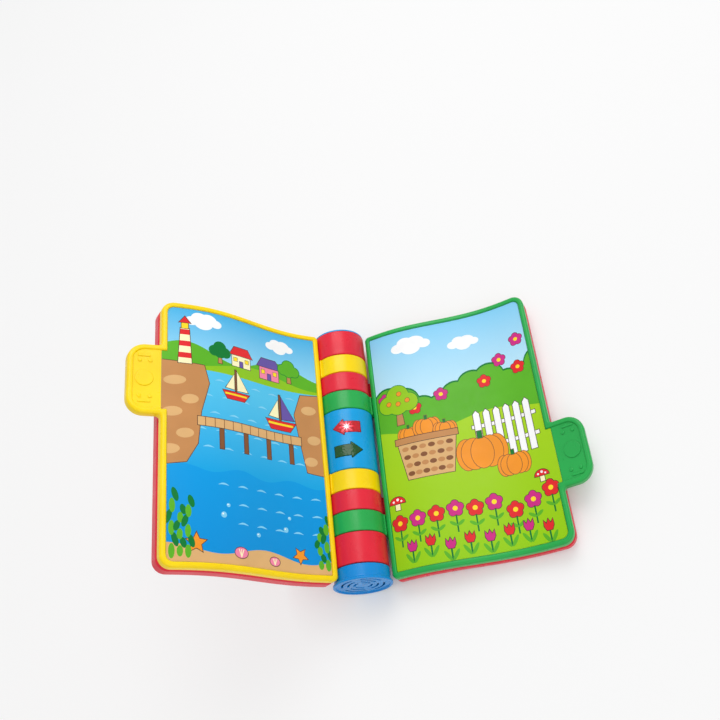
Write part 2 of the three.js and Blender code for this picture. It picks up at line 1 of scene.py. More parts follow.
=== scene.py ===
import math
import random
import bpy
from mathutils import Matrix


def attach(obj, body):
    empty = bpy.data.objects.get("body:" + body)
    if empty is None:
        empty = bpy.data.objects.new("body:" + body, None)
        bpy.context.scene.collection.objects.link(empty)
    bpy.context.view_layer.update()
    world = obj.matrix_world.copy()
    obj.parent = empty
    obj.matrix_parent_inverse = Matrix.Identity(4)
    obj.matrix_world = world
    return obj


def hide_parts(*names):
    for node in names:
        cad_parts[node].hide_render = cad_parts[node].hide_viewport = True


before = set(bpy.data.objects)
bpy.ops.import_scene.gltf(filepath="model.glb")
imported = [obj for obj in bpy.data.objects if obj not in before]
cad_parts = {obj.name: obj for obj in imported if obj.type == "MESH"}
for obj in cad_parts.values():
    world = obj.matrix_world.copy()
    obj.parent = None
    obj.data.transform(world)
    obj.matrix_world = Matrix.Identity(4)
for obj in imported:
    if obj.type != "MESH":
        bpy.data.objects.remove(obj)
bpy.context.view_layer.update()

# Sound book: mouldings, hinge rings, printed cards, lamps and a plain studio.
# Sizes are millimetres until a mesh is placed. A leaf is drawn flat as (u, y, n): u runs out from the
# spine, y along it, and n up from the middle of the closed book. It is then waved, opened and lifted.
from types import SimpleNamespace

import bmesh
import bpy
from mathutils import Matrix, Vector
from mathutils.geometry import delaunay_2d_cdt

MM = 0.001
FIT = 0.3
TURN_GAP = 0.4
LEAF_GAP = 0.6

# Spine
SPINE_LENGTH = 229
SPEAKER_CAP_BAND = 13
FAR_FLANGE = 1.4
BAND_OWNERS = [
    ("front_cover", 26), ("yellow_page", 18), ("back_cover", 18), ("green_page", 18), ("centre", 56),
    ("yellow_page", 18), ("back_cover", 18), ("green_page", 18), ("front_cover", 26),
    ("speaker_cap", SPEAKER_CAP_BAND),
]
BAND_RADIUS = 22.9
TUBE_RADIUS = 19.2
TUBE_WALL = 2.4
RING_BORE = TUBE_RADIUS + TURN_GAP
RING_ROUNDING = 1.0
CAP_LIP_RADIUS = 24.3
CAP_LIP_THICKNESS = 1.6
AXIS_HEIGHT = CAP_LIP_RADIUS + 0.3
CAP_WALL, CAP_FACE, CAP_RIM, CAP_DISH, CAP_SOCKET = 2.2, 1.8, 2.2, 0.9, 2.8
PLUG_WALL, PLUG_DEPTH, FLANGE_INSET = 2.6, 9, 0.5
SLOT_ROWS, SLOT_FIRST, SLOT_STEP, SLOT_WIDTH, SLOT_DEPTH, SLOT_SPAN = 3, 7.0, 5.0, 1.8, 8.0, 66

# Leaves
LEAF_START = BAND_RADIUS + 0.9
LEAF_END = 171.6
LEAF_LENGTH = 225.6
LEAF_SHIFT = 0.3
OUTER_CORNER = 10
INNER_CORNER = 4
NECK_CORNER = 2.5
WAVE_HEIGHT = 5.65
WAVE_PHASE = math.radians(-8.3)
MIDDLE_HEIGHT = -8
PAGE_THICKNESS = 8
FRONT_COVER_THICKNESS = 11
BACK_COVER_THICKNESS = 8
FRONT_COVER_OPENING = 126.4
STATION_STEP = 4
RIM = 4.5
RIM_OUTER_ROUNDING = 2.2
RIM_INNER_ROUNDING = 1.2
CARD_THICKNESS = 1
CARD_RECESS = 1.3
TAB_REACH = 26
TAB_CORNER = 14
TAB_RECESS = 1.2
MARK_HEIGHT = 0.7
MARK_DISC, MARK_DOT, DOT_OFFSET, BAR_OFFSET, BAR_LENGTH = 7, 1.6, 16, 20.5, 10
YELLOW_TAB = (39.5, 62)
GREEN_TAB = (-41, 56)
SHELL_WALL = 2.6
PANEL_THICKNESS = 3.2
TONGUE_LENGTH, TONGUE_THICKNESS, TONGUE_MARGIN = 2.4, 3, 3

# Arrow lamps, door, screws and switch
LAMP_ANGLE = 72
ARROW_LENGTH, ARROW_HEAD, ARROW_HEAD_WIDTH, ARROW_SHAFT_WIDTH = 23.6, 9.6, 15.6, 10.2
RED_ARROW_Y = 16.8
GREEN_ARROW_Y = -4.7
LENS_PROUD = 0.5
DOOR_LENGTH, DOOR_HALF_ANGLE = 48, 36
FOOT_WIDTH, FOOT_LENGTH = 16, 38
SCREW_HEAD, SCREW_HEAD_HEIGHT, SCREW_SHANK, SCREW_LENGTH = 1.5, 1.2, 0.8, 4.4
SCREW_SEAT = -BAND_RADIUS + 0.2
SWITCH_SLOT = (16, 5)
BEYOND = 40  # far enough for a tool to reach right through a piece
KNOB_WIDTH, KNOB_HEIGHT, KNOB_PROUD, KNOB_PLATE = 7, 4.2, 1.4, 1.4

ROUND_STEPS = 144

# Camera, from the spine axis, when both leaves open alike
CAMERA_PLACE = (-63.39, -310.5, 709.18)
CAMERA_YAW, CAMERA_PITCH, CAMERA_ROLL = 11.4, 59.8, 6.6
CAMERA_LENS = 44.69
HALF_OPEN = 26.8

# Light
WORLD_LIGHT, WHITE_SEEN, FLOOR_GLOW = 0.55, 0.96, 0.75
KEY_LIGHT, FILL_LIGHT = 9, 4

scene = bpy.context.scene

# Bands of the spine

bands = []
edge = SPINE_LENGTH / 2
for owner, width in BAND_OWNERS:
    bands.append(SimpleNamespace(owner=owner, near=edge - width, far=edge))
    edge -= width
ring_end = SPINE_LENGTH / 2 - FAR_FLANGE


def bands_of(owner):
    return [band for band in bands if band.owner == owner]


def inset(band, gap):
    return band.near + gap, min(band.far, ring_end) - gap


centre_band = bands_of("centre")[0]
cap_band = bands_of("speaker_cap")[0]
centre_y = (centre_band.near + centre_band.far) / 2

# Leaves of the closed book


def middle(u):
    at = max(u, LEAF_START)
    return MIDDLE_HEIGHT + WAVE_HEIGHT * math.sin(2 * math.pi * at / LEAF_END + WAVE_PHASE)


def resting_tilt(low):
    """Degrees by which the back cover leans up when the low part of its wave rests on the table."""
    tilt = 0
    u = LEAF_START
    while u <= LEAF_END:
        under = middle(u) + low
        lean = math.atan2(-under, u) - math.asin(AXIS_HEIGHT / math.hypot(u, under))
        tilt = max(tilt, lean)
        u += 1
    return math.degrees(tilt)


half_gap = LEAF_GAP / 2
green_page = SimpleNamespace(
    name="green_page", low=-half_gap - PAGE_THICKNESS, high=-half_gap, tab=GREEN_TAB, ring_start=20.5)
yellow_page = SimpleNamespace(
    name="yellow_page", low=half_gap, high=half_gap + PAGE_THICKNESS, tab=YELLOW_TAB, ring_start=20.5)
back_cover = SimpleNamespace(
    name="back_cover", low=green_page.low - LEAF_GAP - BACK_COVER_THICKNESS, high=green_page.low - LEAF_GAP,
    tab=None, ring_start=9)
front_cover = SimpleNamespace(
    name="front_cover", low=yellow_page.high + LEAF_GAP,
    high=yellow_page.high + LEAF_GAP + FRONT_COVER_THICKNESS, tab=None, ring_start=15)
tilt = resting_tilt(back_cover.low)
for leaf in (green_page, back_cover):
    leaf.angle = tilt
for leaf in (yellow_page, front_cover):
    leaf.angle = tilt + FRONT_COVER_OPENING
for leaf in (green_page, yellow_page, front_cover):
    leaf.body = leaf.name
back_cover.body = "spine"

# Outlines and solids


def slab(x0, x1, y0, y1):
    return [(x0, y0), (x1, y0), (x1, y1), (x0, y1)]


def rounded(corners, steps=6):
    """Points and outward normals of an outline, from counter-clockwise corners (x, y, radius)."""
    outline = []
    for i, (x, y, radius) in enumerate(corners):
        here = Vector((x, y))
        back = (Vector(corners[i - 1][:2]) - here).normalized()
        ahead = (Vector(corners[(i + 1) % len(corners)][:2]) - here).normalized()
        before = Vector((-back.y, back.x))
        after = Vector((ahead.y, -ahead.x))
        swing = math.atan2(before.x * after.y - before.y * after.x, before.dot(after))
        half = math.acos(max(-1, min(1, back.dot(ahead)))) / 2
        centre = here + (back + ahead).normalized() * radius / math.sin(half)
        start = math.atan2(before.y, before.x)
        count = steps if radius else 0
        for step in range(count + 1):
            turn = start + swing * (step / count if count else 0.5)
            normal = Vector((math.cos(turn), math.sin(turn)))
            side = 1 if swing > 0 else -1
            outline.append((centre + normal * radius * side, normal))
    return outline


def bead(low, high, low_round, high_round, steps=5):
    """A slab's edge as (inset, height) pairs, with both edges rounded."""
    profile = []
    for step in range(steps + 1):
        turn = math.pi / 2 * step / steps
        profile.append((low_round * (1 - math.sin(turn)), low + low_round * (1 - math.cos(turn))))
    for step in range(steps + 1):
        turn = math.pi / 2 * step / steps
        profile.append((high_round * (1 - math.cos(turn)), high - high_round * (1 - math.sin(turn))))
    return profile


def pocket_profile(floor, face, rounding, steps=5):
    """A cutter's edge: straight up from the floor, then flaring out to leave a rounded rim at the face."""
    profile = [(0, floor)]
    for step in range(steps + 1):
        turn = math.pi / 2 * step / steps
        profile.append((-rounding * (1 - math.cos(turn)), face - rounding * (1 - math.sin(turn))))
    return profile + [(-rounding, face + 3)]


def mesh_of(build):
    mesh = bpy.data.meshes.new("shape")
    build.to_mesh(mesh)
    build.free()
    return mesh


def moulded(outline, profile):
    """The outline at each (inset, height) of the profile, closed by flat faces."""
    build = bmesh.new()
    loops = [
        [build.verts.new((p.x - n.x * shrink, p.y - n.y * shrink, height)) for p, n in outline]
        for shrink, height in profile
    ]
    for lower, upper in zip(loops, loops[1:]):
        for i in range(len(lower)):
            build.faces.new((lower[i - 1], lower[i], upper[i], upper[i - 1]))
    caps = [build.faces.new(loops[0][::-1]), build.faces.new(loops[-1])]
    build.normal_update()
    bmesh.ops.triangulate(build, faces=caps)
    bmesh.ops.recalc_face_normals(build, faces=build.faces)
    return mesh_of(build)


def block(xs, ys, zs, rounding=0.0):
    corners = [(x, y, rounding) for x, y in slab(*xs, *ys)]
    if not rounding:
        return moulded(rounded(corners), [(0, zs[0]), (0, zs[1])])
    return moulded(rounded(corners, 4), bead(zs[0], zs[1], rounding * 0.9, rounding * 0.9, 4))


def turned(outline, steps=ROUND_STEPS):
    """A piece turned round the spine axis from its half section, an outline in (radius, y)."""
    build = bmesh.new()
    rings = []
    for point, _ in outline:
        if point.x < 1e-6:
            rings.append([build.verts.new((0, point.y, 0))] * steps)
            continue
        ring = []
        for step in range(steps):
            turn = 2 * math.pi * step / steps
            ring.append(build.verts.new((point.x * math.cos(turn), point.y, point.x * math.sin(turn))))
        rings.append(ring)
    for i, ring in enumerate(rings):
        last = rings[i - 1]
        if ring[0] is ring[1] and last[0] is last[1]:
            continue
        for k in range(steps):
            corners = dict.fromkeys((last[k - 1], last[k], ring[k], ring[k - 1]))
            build.faces.new(list(corners))
    bmesh.ops.recalc_face_normals(build, faces=build.faces)
    return mesh_of(build)


def pipe(outer, bore, ys, rounding=RING_ROUNDING):
    section = [(bore, ys[0], 0.2), (outer, ys[0], rounding), (outer, ys[1], rounding), (bore, ys[1], 0.2)]
    return turned(rounded(section, 5))


def rod(radius, ys, steps=ROUND_STEPS):
    return turned(rounded([(x, y, 0) for x, y in slab(0, radius, *ys)]), steps)


def linked(mesh, name="part"):
    piece = bpy.data.objects.new(name, mesh)
    scene.collection.objects.link(piece)
    return piece


def evaluated(piece):
    """The object's mesh with its modifiers applied. The object itself is removed."""
    mesh = bpy.data.meshes.new_from_object(piece.evaluated_get(bpy.context.evaluated_depsgraph_get()))
    bpy.data.objects.remove(piece)
    return mesh


def combined(mesh, operation, *tools):
    """The mesh joined with (UNION), cut by (DIFFERENCE) or kept inside (INTERSECT) each tool in turn."""
    for tool in tools:
        piece = linked(mesh)
        helper = linked(tool, "tool")
        modifier = piece.modifiers.new("combine", "BOOLEAN")
        modifier.operation = operation
        modifier.solver = "MANIFOLD"
        modifier.object = helper
        mesh = evaluated(piece)
        bpy.data.objects.remove(helper)
    return mesh


def moved(mesh, matrix):
    mesh.transform(matrix)
    return mesh


def mapped(mesh, stations, rule):
    """The mesh split at the stations along x, with every point moved by the rule."""
    build = bmesh.new()
    build.from_mesh(mesh)
    bmesh.ops.triangulate(build, faces=[face for face in build.faces if len(face.verts) > 4])
    for x in stations:
        everything = build.verts[:] + build.edges[:] + build.faces[:]
        bmesh.ops.bisect_plane(build, geom=everything, dist=1e-5, plane_co=(x, 0, 0), plane_no=(1, 0, 0))
    for vert in build.verts:
        vert.co = rule(*vert.co)
    return mesh_of(build)


station_count = int((LEAF_END + TAB_REACH - LEAF_START) / STATION_STEP)
stations = [LEAF_START + STATION_STEP * i for i in range(1, station_count + 1)]


def waved(mesh):
    return mapped(mesh, stations, lambda u, y, n: (u, y, middle(u) + n))


def placed(mesh, angle=0.0):
    """From the spine's frame to the part's: opened by the angle, lifted and brought to metres."""
    lift = Matrix.Translation((0, 0, AXIS_HEIGHT))
    turn = Matrix.Rotation(math.radians(-angle), 4, "Y")
    return moved(mesh, Matrix.Scale(MM, 4) @ lift @ turn)


def finished(name, mesh, materials, body, slot, *nodes, sharp=32):
    """A visible piece with its materials, on its body, standing for its solid nodes."""
    if materials:
        mesh.materials.clear()
    for material in materials:
        mesh.materials.append(material)
    mesh.polygons.foreach_set("use_smooth", [True] * len(mesh.polygons))
    mesh.set_sharp_from_angle(angle=math.radians(sharp))
    piece = linked(mesh, name)
    weighted = piece.modifiers.new("weighted", "WEIGHTED_NORMAL")
    weighted.keep_sharp = True
    piece = linked(evaluated(piece), name)
    piece.name = name
    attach(piece, body)
    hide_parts(*nodes)


# Materials


def tint(red, green, blue):
    """A colour written as on screen, made linear."""
    def linear(value):
        share = value / 255
        return share / 12.92 if share <= 0.04045 else ((share + 0.055) / 1.055) ** 2.4
    return (linear(red), linear(green), linear(blue), 1)


def shades(colour, amount):
    return [tuple(min(1, c * factor) for c in colour[:3]) + (1,) for factor in (1 - amount, 1 + amount)]


def added(tree, kind, **values):
    """A new node with its sockets set, where an underscore stands for a space in a socket's name."""
    node = tree.nodes.new(kind)
    for name, value in values.items():
        node.inputs[name.replace("_", " ")].default_value = value
    return node


def wire(tree, *wires):
    """Link each (output, node, name of its input)."""
    for output, node, name in wires:
        tree.links.new(output, node.inputs[name])


def math_node(tree, operation, *values):
    """The result of a sum on numbers and outputs."""
    node = tree.nodes.new("ShaderNodeMath")
    node.operation = operation
    for socket, value in zip(node.inputs, values):
        if isinstance(value, (int, float)):
            socket.default_value = value
        else:
            tree.links.new(value, socket)
    return node.outputs["Value"]


def parts_of(tree, vector):
    split = added(tree, "ShaderNodeSeparateXYZ")
    tree.links.new(vector, split.inputs["Vector"])
    return split.outputs["X"], split.outputs["Y"]


class Finish:
    """A material's nodes, with short calls for the ones used here."""

    def __init__(self, name):
        self.material = bpy.data.materials.new(name)
        self.material.use_nodes = True
        self.tree = self.material.node_tree
        self.links = self.tree.links
        self.shader = self.tree.nodes["Principled BSDF"]
        self.place = added(self.tree, "ShaderNodeTexCoord").outputs["Object"]

    def noise(self, scale, detail=2.0):
        node = added(self.tree, "ShaderNodeTexNoise", Scale=scale, Detail=detail)
        self.links.new(self.place, node.inputs["Vector"])
        return node.outputs["Fac"]

    def ramp(self, factor, stops):
        node = added(self.tree, "ShaderNodeValToRGB")
        elements = node.color_ramp.elements
        while len(elements) < len(stops):
            elements.new(0.5)
        for element, (position, colour) in zip(elements, stops):
            element.position = position
            element.color = colour
        self.links.new(factor, node.inputs["Fac"])
        return node.outputs["Color"]

    def math(self, operation, *values):
        return math_node(self.tree, operation, *values)

    def between(self, factor, low, high, source=(0.3, 0.7)):
        start, end = source
        node = added(self.tree, "ShaderNodeMapRange", From_Min=start, From_Max=end, To_Min=low, To_Max=high)
        self.links.new(factor, node.inputs["Value"])
        return node.outputs["Result"]

    def bump(self, height, distance, strength):
        node = added(self.tree, "ShaderNodeBump", Distance=distance, Strength=strength)
        self.links.new(height, node.inputs["Height"])
        self.links.new(node.outputs["Normal"], self.shader.inputs["Normal"])

    def colour(self, output):
        self.links.new(output, self.shader.inputs["Base Color"])

    def rough(self, output):
        self.links.new(output, self.shader.inputs["Roughness"])

    def set(self, **values):
        for name, value in values.items():
            self.shader.inputs[name.replace("_", " ")].default_value = value


def moulded_plastic(name, colour, roughness=0.3, grain=0.00003):
    """Moulded plastic: faint flow marks in the colour, uneven gloss, fine grain and a few scuffs."""
    finish = Finish(name)
    dark, light = shades(colour, 0.05)
    finish.colour(finish.ramp(finish.noise(28, 3), [(0.35, dark), (0.65, light)]))
    scuffs = finish.between(finish.noise(900, 4), 0, 0.04, (0.55, 0.75))
    gloss = finish.between(finish.noise(90, 3), roughness - 0.05, roughness + 0.06)
    finish.rough(finish.math("ADD", gloss, scuffs))
    finish.bump(finish.noise(1400, 3), grain, 0.25)
    finish.set(Specular_IOR_Level=0.28)
    return finish.material


def ink(name, colour, other=None, span=(0, 1)):
    """Printed colour under a gloss film: softly uneven or, with a second colour, a fade along the page."""
    finish = Finish(name)
    if other:
        _, along = parts_of(finish.tree, finish.place)
        fade = finish.between(along, 0, 1, (span[0] * MM, span[1] * MM))
        finish.colour(finish.ramp(fade, [(0, colour), (1, other)]))
    else:
        dark, light = shades(colour, 0.035)
        finish.colour(finish.ramp(finish.noise(45, 2), [(0.35, dark), (0.65, light)]))
    finish.rough(finish.between(finish.noise(160, 3), 0.34, 0.46))
    finish.bump(finish.noise(700, 3), 0.00003, 0.12)
    finish.set(Specular_IOR_Level=0.18)
    return finish.material


def metal(name, colour, roughness=0.28):
    finish = Finish(name)
    dark, light = shades(colour, 0.08)
    finish.colour(finish.ramp(finish.noise(300, 3), [(0.4, dark), (0.6, light)]))
    finish.rough(finish.between(finish.noise(700, 3), roughness - 0.06, roughness + 0.1))
    finish.bump(finish.noise(2500, 2), 0.00002, 0.4)
    finish.set(Metallic=1.0)
    return finish.material


def lamp(name, colour, glow, centre_y_mm, strength):
    """A clear moulded lens with fine facets and, when lit, a star of light round its middle."""
    finish = Finish(name)
    middle_of_lens = (0, centre_y_mm * MM, AXIS_HEIGHT * MM)
    facing = (0, math.radians(90 - LAMP_ANGLE), 0)
    aimed = added(finish.tree, "ShaderNodeMapping", Location=middle_of_lens, Rotation=facing)
    aimed.vector_type = "TEXTURE"
    finish.links.new(finish.place, aimed.inputs["Vector"])
    x, y = parts_of(finish.tree, aimed.outputs["Vector"])
    squares = [finish.math("MULTIPLY", length, length) for length in (x, y)]
    distance = finish.math("SQRT", finish.math("ADD", *squares))
    turn = finish.math("ARCTAN2", y, x)
    rays = finish.math("ABSOLUTE", finish.math("COSINE", finish.math("MULTIPLY", turn, 4)))
    reach = finish.math("ADD", finish.math("MULTIPLY", finish.math("POWER", rays, 3), 0.0048), 0.0022)
    share = finish.math("DIVIDE", distance, reach)
    dark, light = shades(colour, 0.12)
    facets = added(finish.tree, "ShaderNodeTexVoronoi", Scale=520)
    finish.links.new(finish.place, facets.inputs["Vector"])
    finish.colour(finish.ramp(facets.outputs["Distance"], [(0.2, light), (0.8, dark)]))
    finish.bump(facets.outputs["Distance"], 0.0003, 0.5)
    finish.rough(finish.between(finish.noise(200), 0.08, 0.16))
    finish.set(Specular_IOR_Level=0.35)
    if strength:
        shine = finish.ramp(share, [(0.15, tint(255, 250, 248)), (0.55, glow), (1, tint(120, 8, 16))])
        power = finish.between(share, strength, 0.05, (0.2, 1.3))
        finish.links.new(shine, finish.shader.inputs["Emission Color"])
        finish.links.new(power, finish.shader.inputs["Emission Strength"])
    return finish.material


def circuit_board(name):
    """Green solder mask with faint copper tracks under it."""
    finish = Finish(name)
    tracks = added(
        finish.tree, "ShaderNodeTexBrick", Scale=260, Mortar_Size=0.06, Color1=tint(24, 96, 52),
        Color2=tint(20, 84, 46), Mortar=tint(60, 140, 80))
    finish.links.new(finish.place, tracks.inputs["Vector"])
    finish.colour(tracks.outputs["Color"])
    finish.rough(finish.between(finish.noise(300), 0.3, 0.45))
    finish.bump(tracks.outputs["Fac"], 0.00004, 0.5)
    return finish.material


red_plastic = moulded_plastic("red_moulding", tint(226, 34, 56))
yellow_plastic = moulded_plastic("yellow_moulding", tint(255, 216, 0))
green_plastic = moulded_plastic("green_moulding", tint(34, 168, 76))
blue_plastic = moulded_plastic("blue_moulding", tint(0, 160, 226))
# Painted shade: the speaker cap takes the spine's blue made darker, for the shade on its end face.
shaded_cap_blue = moulded_plastic("cap_moulding", tint(6, 138, 214), 0.26)
black_plastic = moulded_plastic("black_moulding", tint(34, 34, 38), 0.45, 0.00008)
paper_cone = moulded_plastic("speaker_cone", tint(40, 38, 40), 0.8, 0.0001)
steel = metal("plated_steel", tint(196, 198, 202))
board_mask = circuit_board("board_mask")
sleeve = metal("cell_sleeve", tint(70, 74, 84), 0.35)
red_lens = lamp("red_lens_lit", tint(196, 20, 36), tint(255, 70, 96), RED_ARROW_Y, 2.2)
green_lens = lamp("green_lens_dark", tint(8, 74, 22), tint(40, 160, 60), GREEN_ARROW_Y, 0)

for leaf, plastic, colour_name, card_slot in (
    (yellow_page, yellow_plastic, "yellow", "printed_card"),
    (green_page, green_plastic, "green", "printed_card_green"),
    (front_cover, red_plastic, "red", "printed_card"),
    (back_cover, red_plastic, "red", "printed_card_green"),
):
    leaf.plastic, leaf.slot, leaf.card_slot = plastic, colour_name + "_plastic", card_slot

INKS = {
    "card": ink("card_core", tint(238, 236, 228)),
    "sky": ink("print_sky", tint(150, 215, 245), tint(72, 178, 230), (60, 108)),
    "pale_sky": ink("print_pale_sky", tint(200, 235, 250), tint(132, 205, 242), (30, 108)),
    "white": ink("print_white", tint(250, 250, 250)),
    "hill": ink("print_hill", tint(150, 200, 20), tint(120, 190, 40), (40, 90)),
    "bush": ink("print_bush", tint(92, 178, 36)),
    "meadow": ink("print_meadow", tint(150, 205, 10), tint(170, 212, 30), (-108, 30)),
    "deep_green": ink("print_deep_green", tint(0, 120, 48)),
    "water": ink("print_water", tint(20, 165, 228), tint(84, 196, 238), (-34, 40)),
    "wave": ink("print_wave", tint(130, 208, 242)),
    "deep": ink("print_deep_water", tint(0, 142, 216), tint(0, 156, 228), (-108, -30)),
    "brown": ink("print_brown", tint(196, 138, 84)),
    "tan": ink("print_tan", tint(222, 176, 118)),
    "bark": ink("print_bark", tint(132, 82, 48)),
    "cream": ink("print_cream", tint(255, 246, 196)),
    "red": ink("print_red", tint(226, 40, 44)),
    "magenta": ink("print_magenta", tint(206, 44, 132)),
    "pink": ink("print_pink", tint(244, 134, 168)),
    "purple": ink("print_purple", tint(104, 84, 164)),
    "orange": ink("print_orange", tint(244, 150, 40)),
    "yellow": ink("print_yellow", tint(255, 222, 40)),
    "line": ink("print_line", tint(74, 52, 40)),
}

# Prints: a drawing is a list of (ink, points) in the picture's own millimetres, later shapes on top

PICTURE_WIDTH = LEAF_END - LEAF_START - 2 * RIM
BLEED = 12
LEFT_EDGE, RIGHT_EDGE, BELOW = -BLEED, PICTURE_WIDTH + BLEED, -130


def disc(x, y, across, up=None, lean=0.0, steps=26):
    up = across if up is None else up
    points = []
    for step in range(steps):
        turn = 2 * math.pi * step / steps
        dx, dy = across * math.cos(turn), up * math.sin(turn)
        points.append((
            x + dx * math.cos(lean) - dy * math.sin(lean),
            y + dx * math.sin(lean) + dy * math.cos(lean)))
    return points


def rolling(low, level, height, length, start=0.0, steps=60):
    """Ground with a rolling top edge, right across the picture."""
    points = [(RIGHT_EDGE, low), (LEFT_EDGE, low)]
    for step in range(steps + 1):
        x = LEFT_EDGE + (RIGHT_EDGE - LEFT_EDGE) * step / steps
        points.append((x, level + height * math.sin(2 * math.pi * (x + start) / length)))
    return points


def bar(ax, ay, bx, by, width):
    along = Vector((bx - ax, by - ay)).normalized() * width / 2
    side = Vector((-along.y, along.x))
    return [
        (ax - side.x, ay - side.y), (ax + side.x, ay + side.y),
        (bx + side.x, by + side.y), (bx - side.x, by - side.y)]


def star(x, y, outer, inner, arms=5, lean=0.3):
    points = []
    for step in range(2 * arms):
        radius = inner if step % 2 else outer
        turn = lean + math.pi * step / arms
        points.append((x + radius * math.cos(turn), y + radius * math.sin(turn)))
    return points


def scaled(x, y, size, points):
    return [(x + dx * size, y + dy * size) for dx, dy in points]


def signed_area(points):
    return sum(a[0] * b[1] - b[0] * a[1] for a, b in zip(points, points[1:] + points[:1]))


def grown(points, amount):
    """The polygon moved outwards by the amount, for an outline behind a shape."""
    side = 1 if signed_area(points) > 0 else -1
    made = []
    for i, point in enumerate(points):
        here = Vector(point)
        into = (here - Vector(points[i - 1])).normalized()
        out = (Vector(points[(i + 1) % len(points)]) - here).normalized()
        normal = Vector((into.y + out.y, -into.x - out.x)) * side
        length = max(normal.length, 0.8)
        made.append(tuple(here + normal * (2 * amount / length ** 2)))
    return made


def drawn(ink_name, points, line="line", width=0.55):
    """A shape with a dark line round it."""
    return [(line, grown(points, width)), (ink_name, points)]


def built(x, y, size, parts):
    """Outlined shapes, each given as (ink, points) for size 1."""
    shapes = []
    for ink_name, points in parts:
        shapes += drawn(ink_name, scaled(x, y, size, points))
    return shapes


def cloud(x, y, size):
    puffs = ((-1.3, -0.1, 0.7), (-0.5, 0.35, 0.85), (0.5, 0.25, 0.95), (1.35, -0.05, 0.65), (0, -0.25, 1.0))
    return [("white", disc(x + dx * size, y + dy * size, r * size, r * size * 0.75)) for dx, dy, r in puffs]


def flower(x, y, size, petal, stem=0.0):
    """Five round petals and a yellow eye, on a stem with two leaves."""
    shapes = []
    if stem:
        shapes.append(("deep_green", bar(x, y - stem, x, y, 1.3)))
        for side in (-1, 1):
            shapes.append(("bush", disc(x + side * 3, y - stem * 0.62, 3.6, 1.4, side * 0.6, 16)))
    turns = [2 * math.pi * k / 5 + 0.3 for k in range(5)]
    centres = [(x + math.cos(t) * size * 0.62, y + math.sin(t) * size * 0.62) for t in turns]
    for ink_name, share in (("line", 0.56), (petal, 0.48)):
        for px, py in centres:
            shapes.append((ink_name, disc(px, py, size * share, steps=16)))
    shapes.append(("yellow", disc(x, y, size * 0.32, steps=14)))
    return shapes


def tulip(x, y, size, petal, stem):
    cup = [
        (-0.75, 0.95), (-0.8, 0), (-0.45, -0.7), (0.45, -0.7), (0.8, 0), (0.75, 0.95), (0.35, 0.35),
        (0, 1.05), (-0.35, 0.35)]
    shapes = [("deep_green", bar(x, y - stem, x, y - size * 0.5, 1.4))]
    for side in (-1, 1):
        shapes.append(("bush", disc(x + side * 3.2, y - stem * 0.7, 5.2, 1.5, side * 1.0, 18)))
    return shapes + built(x, y, size, [(petal, cup)])


def toadstool(x, y, size):
    turns = [math.pi * k / 14 for k in range(15)]
    cap = [(x + size * math.cos(t), y + size * 0.85 * math.sin(t)) for t in turns]
    shapes = drawn("cream", slab(x - size * 0.3, x + size * 0.3, y - size * 0.8, y + 0.4))
    shapes += drawn("red", cap)
    for dx, dy, r in ((-0.5, 0.3, 0.14), (0.05, 0.5, 0.18), (0.5, 0.25, 0.13)):
        shapes.append(("white", disc(x + dx * size, y + dy * size, r * size, steps=14)))
    return shapes


def tree(x, y, size, crown, fruit=None):
    shapes = built(x, y, size, [("brown", [(-0.18, -1), (0.2, -1), (0.12, 0), (-0.12, 0)])])
    puffs = ((-0.55, 0.25, 0.5), (0.55, 0.2, 0.5), (0, 0.65, 0.6), (0, 0.15, 0.55))
    for ink_name, line in (("deep_green", 0.6), (crown, 0)):
        for dx, dy, r in puffs:
            shapes.append((ink_name, disc(x + dx * size, y + dy * size, r * size + line)))
    for dx, dy in ((-0.5, 0.3), (0.1, 0.75), (0.5, 0.3), (0, 0.2)) if fruit else ():
        shapes += drawn(fruit, disc(x + dx * size, y + dy * size, 0.12 * size, steps=14), "bark", 0.4)
    return shapes


def sailing_boat(x, y, size, sail):
    shapes = built(x, y, size, (
        ("bark", slab(-0.05, 0.06, 0, 2)),
        (sail, [(0.12, 0.25), (1.05, 0.3), (0.12, 1.9)]),
        ("cream", [(-0.12, 0.3), (-0.12, 1.6), (-0.85, 0.35)]),
        ("red", [(-1.1, 0.1), (-0.75, -0.55), (0.7, -0.55), (1.15, 0.1)]),
    ))
    shapes.append(("yellow", scaled(x, y, size, slab(-0.92, 0.94, -0.2, -0.05))))
    return shapes


def ripples(y, start, x0=LEFT_EDGE, width=1.3, pitch=17):
    """A row of short light curves on water."""
    shapes = []
    x = x0 + start
    while x < RIGHT_EDGE:
        top = [(x + 9 * k / 8, y + 1.7 * math.sin(math.pi * k / 8)) for k in range(9)]
        low = [(px, py - width * math.sin(math.pi * (px - x) / 9) - 0.2) for px, py in top[::-1]]
        shapes.append(("wave", top + low))
        x += pitch
    return shapes


def lighthouse(x, y, size):
    shapes = built(x, y, size, [("cream", [(-0.5, 0), (0.5, 0), (0.33, 3), (-0.33, 3)])])
    for low in (0.45, 1.45, 2.45):
        wide, narrow = (0.5 - 0.17 * height / 3 for height in (low, low + 0.45))
        stripe = [(-wide, low), (wide, low), (narrow, low + 0.45), (-narrow, low + 0.45)]
        shapes.append(("red", scaled(x, y, size, stripe)))
    return shapes + built(x, y, size, (
        ("yellow", slab(-0.25, 0.25, 3, 3.5)), ("red", [(-0.42, 3.5), (0.42, 3.5), (0, 4.05)])))


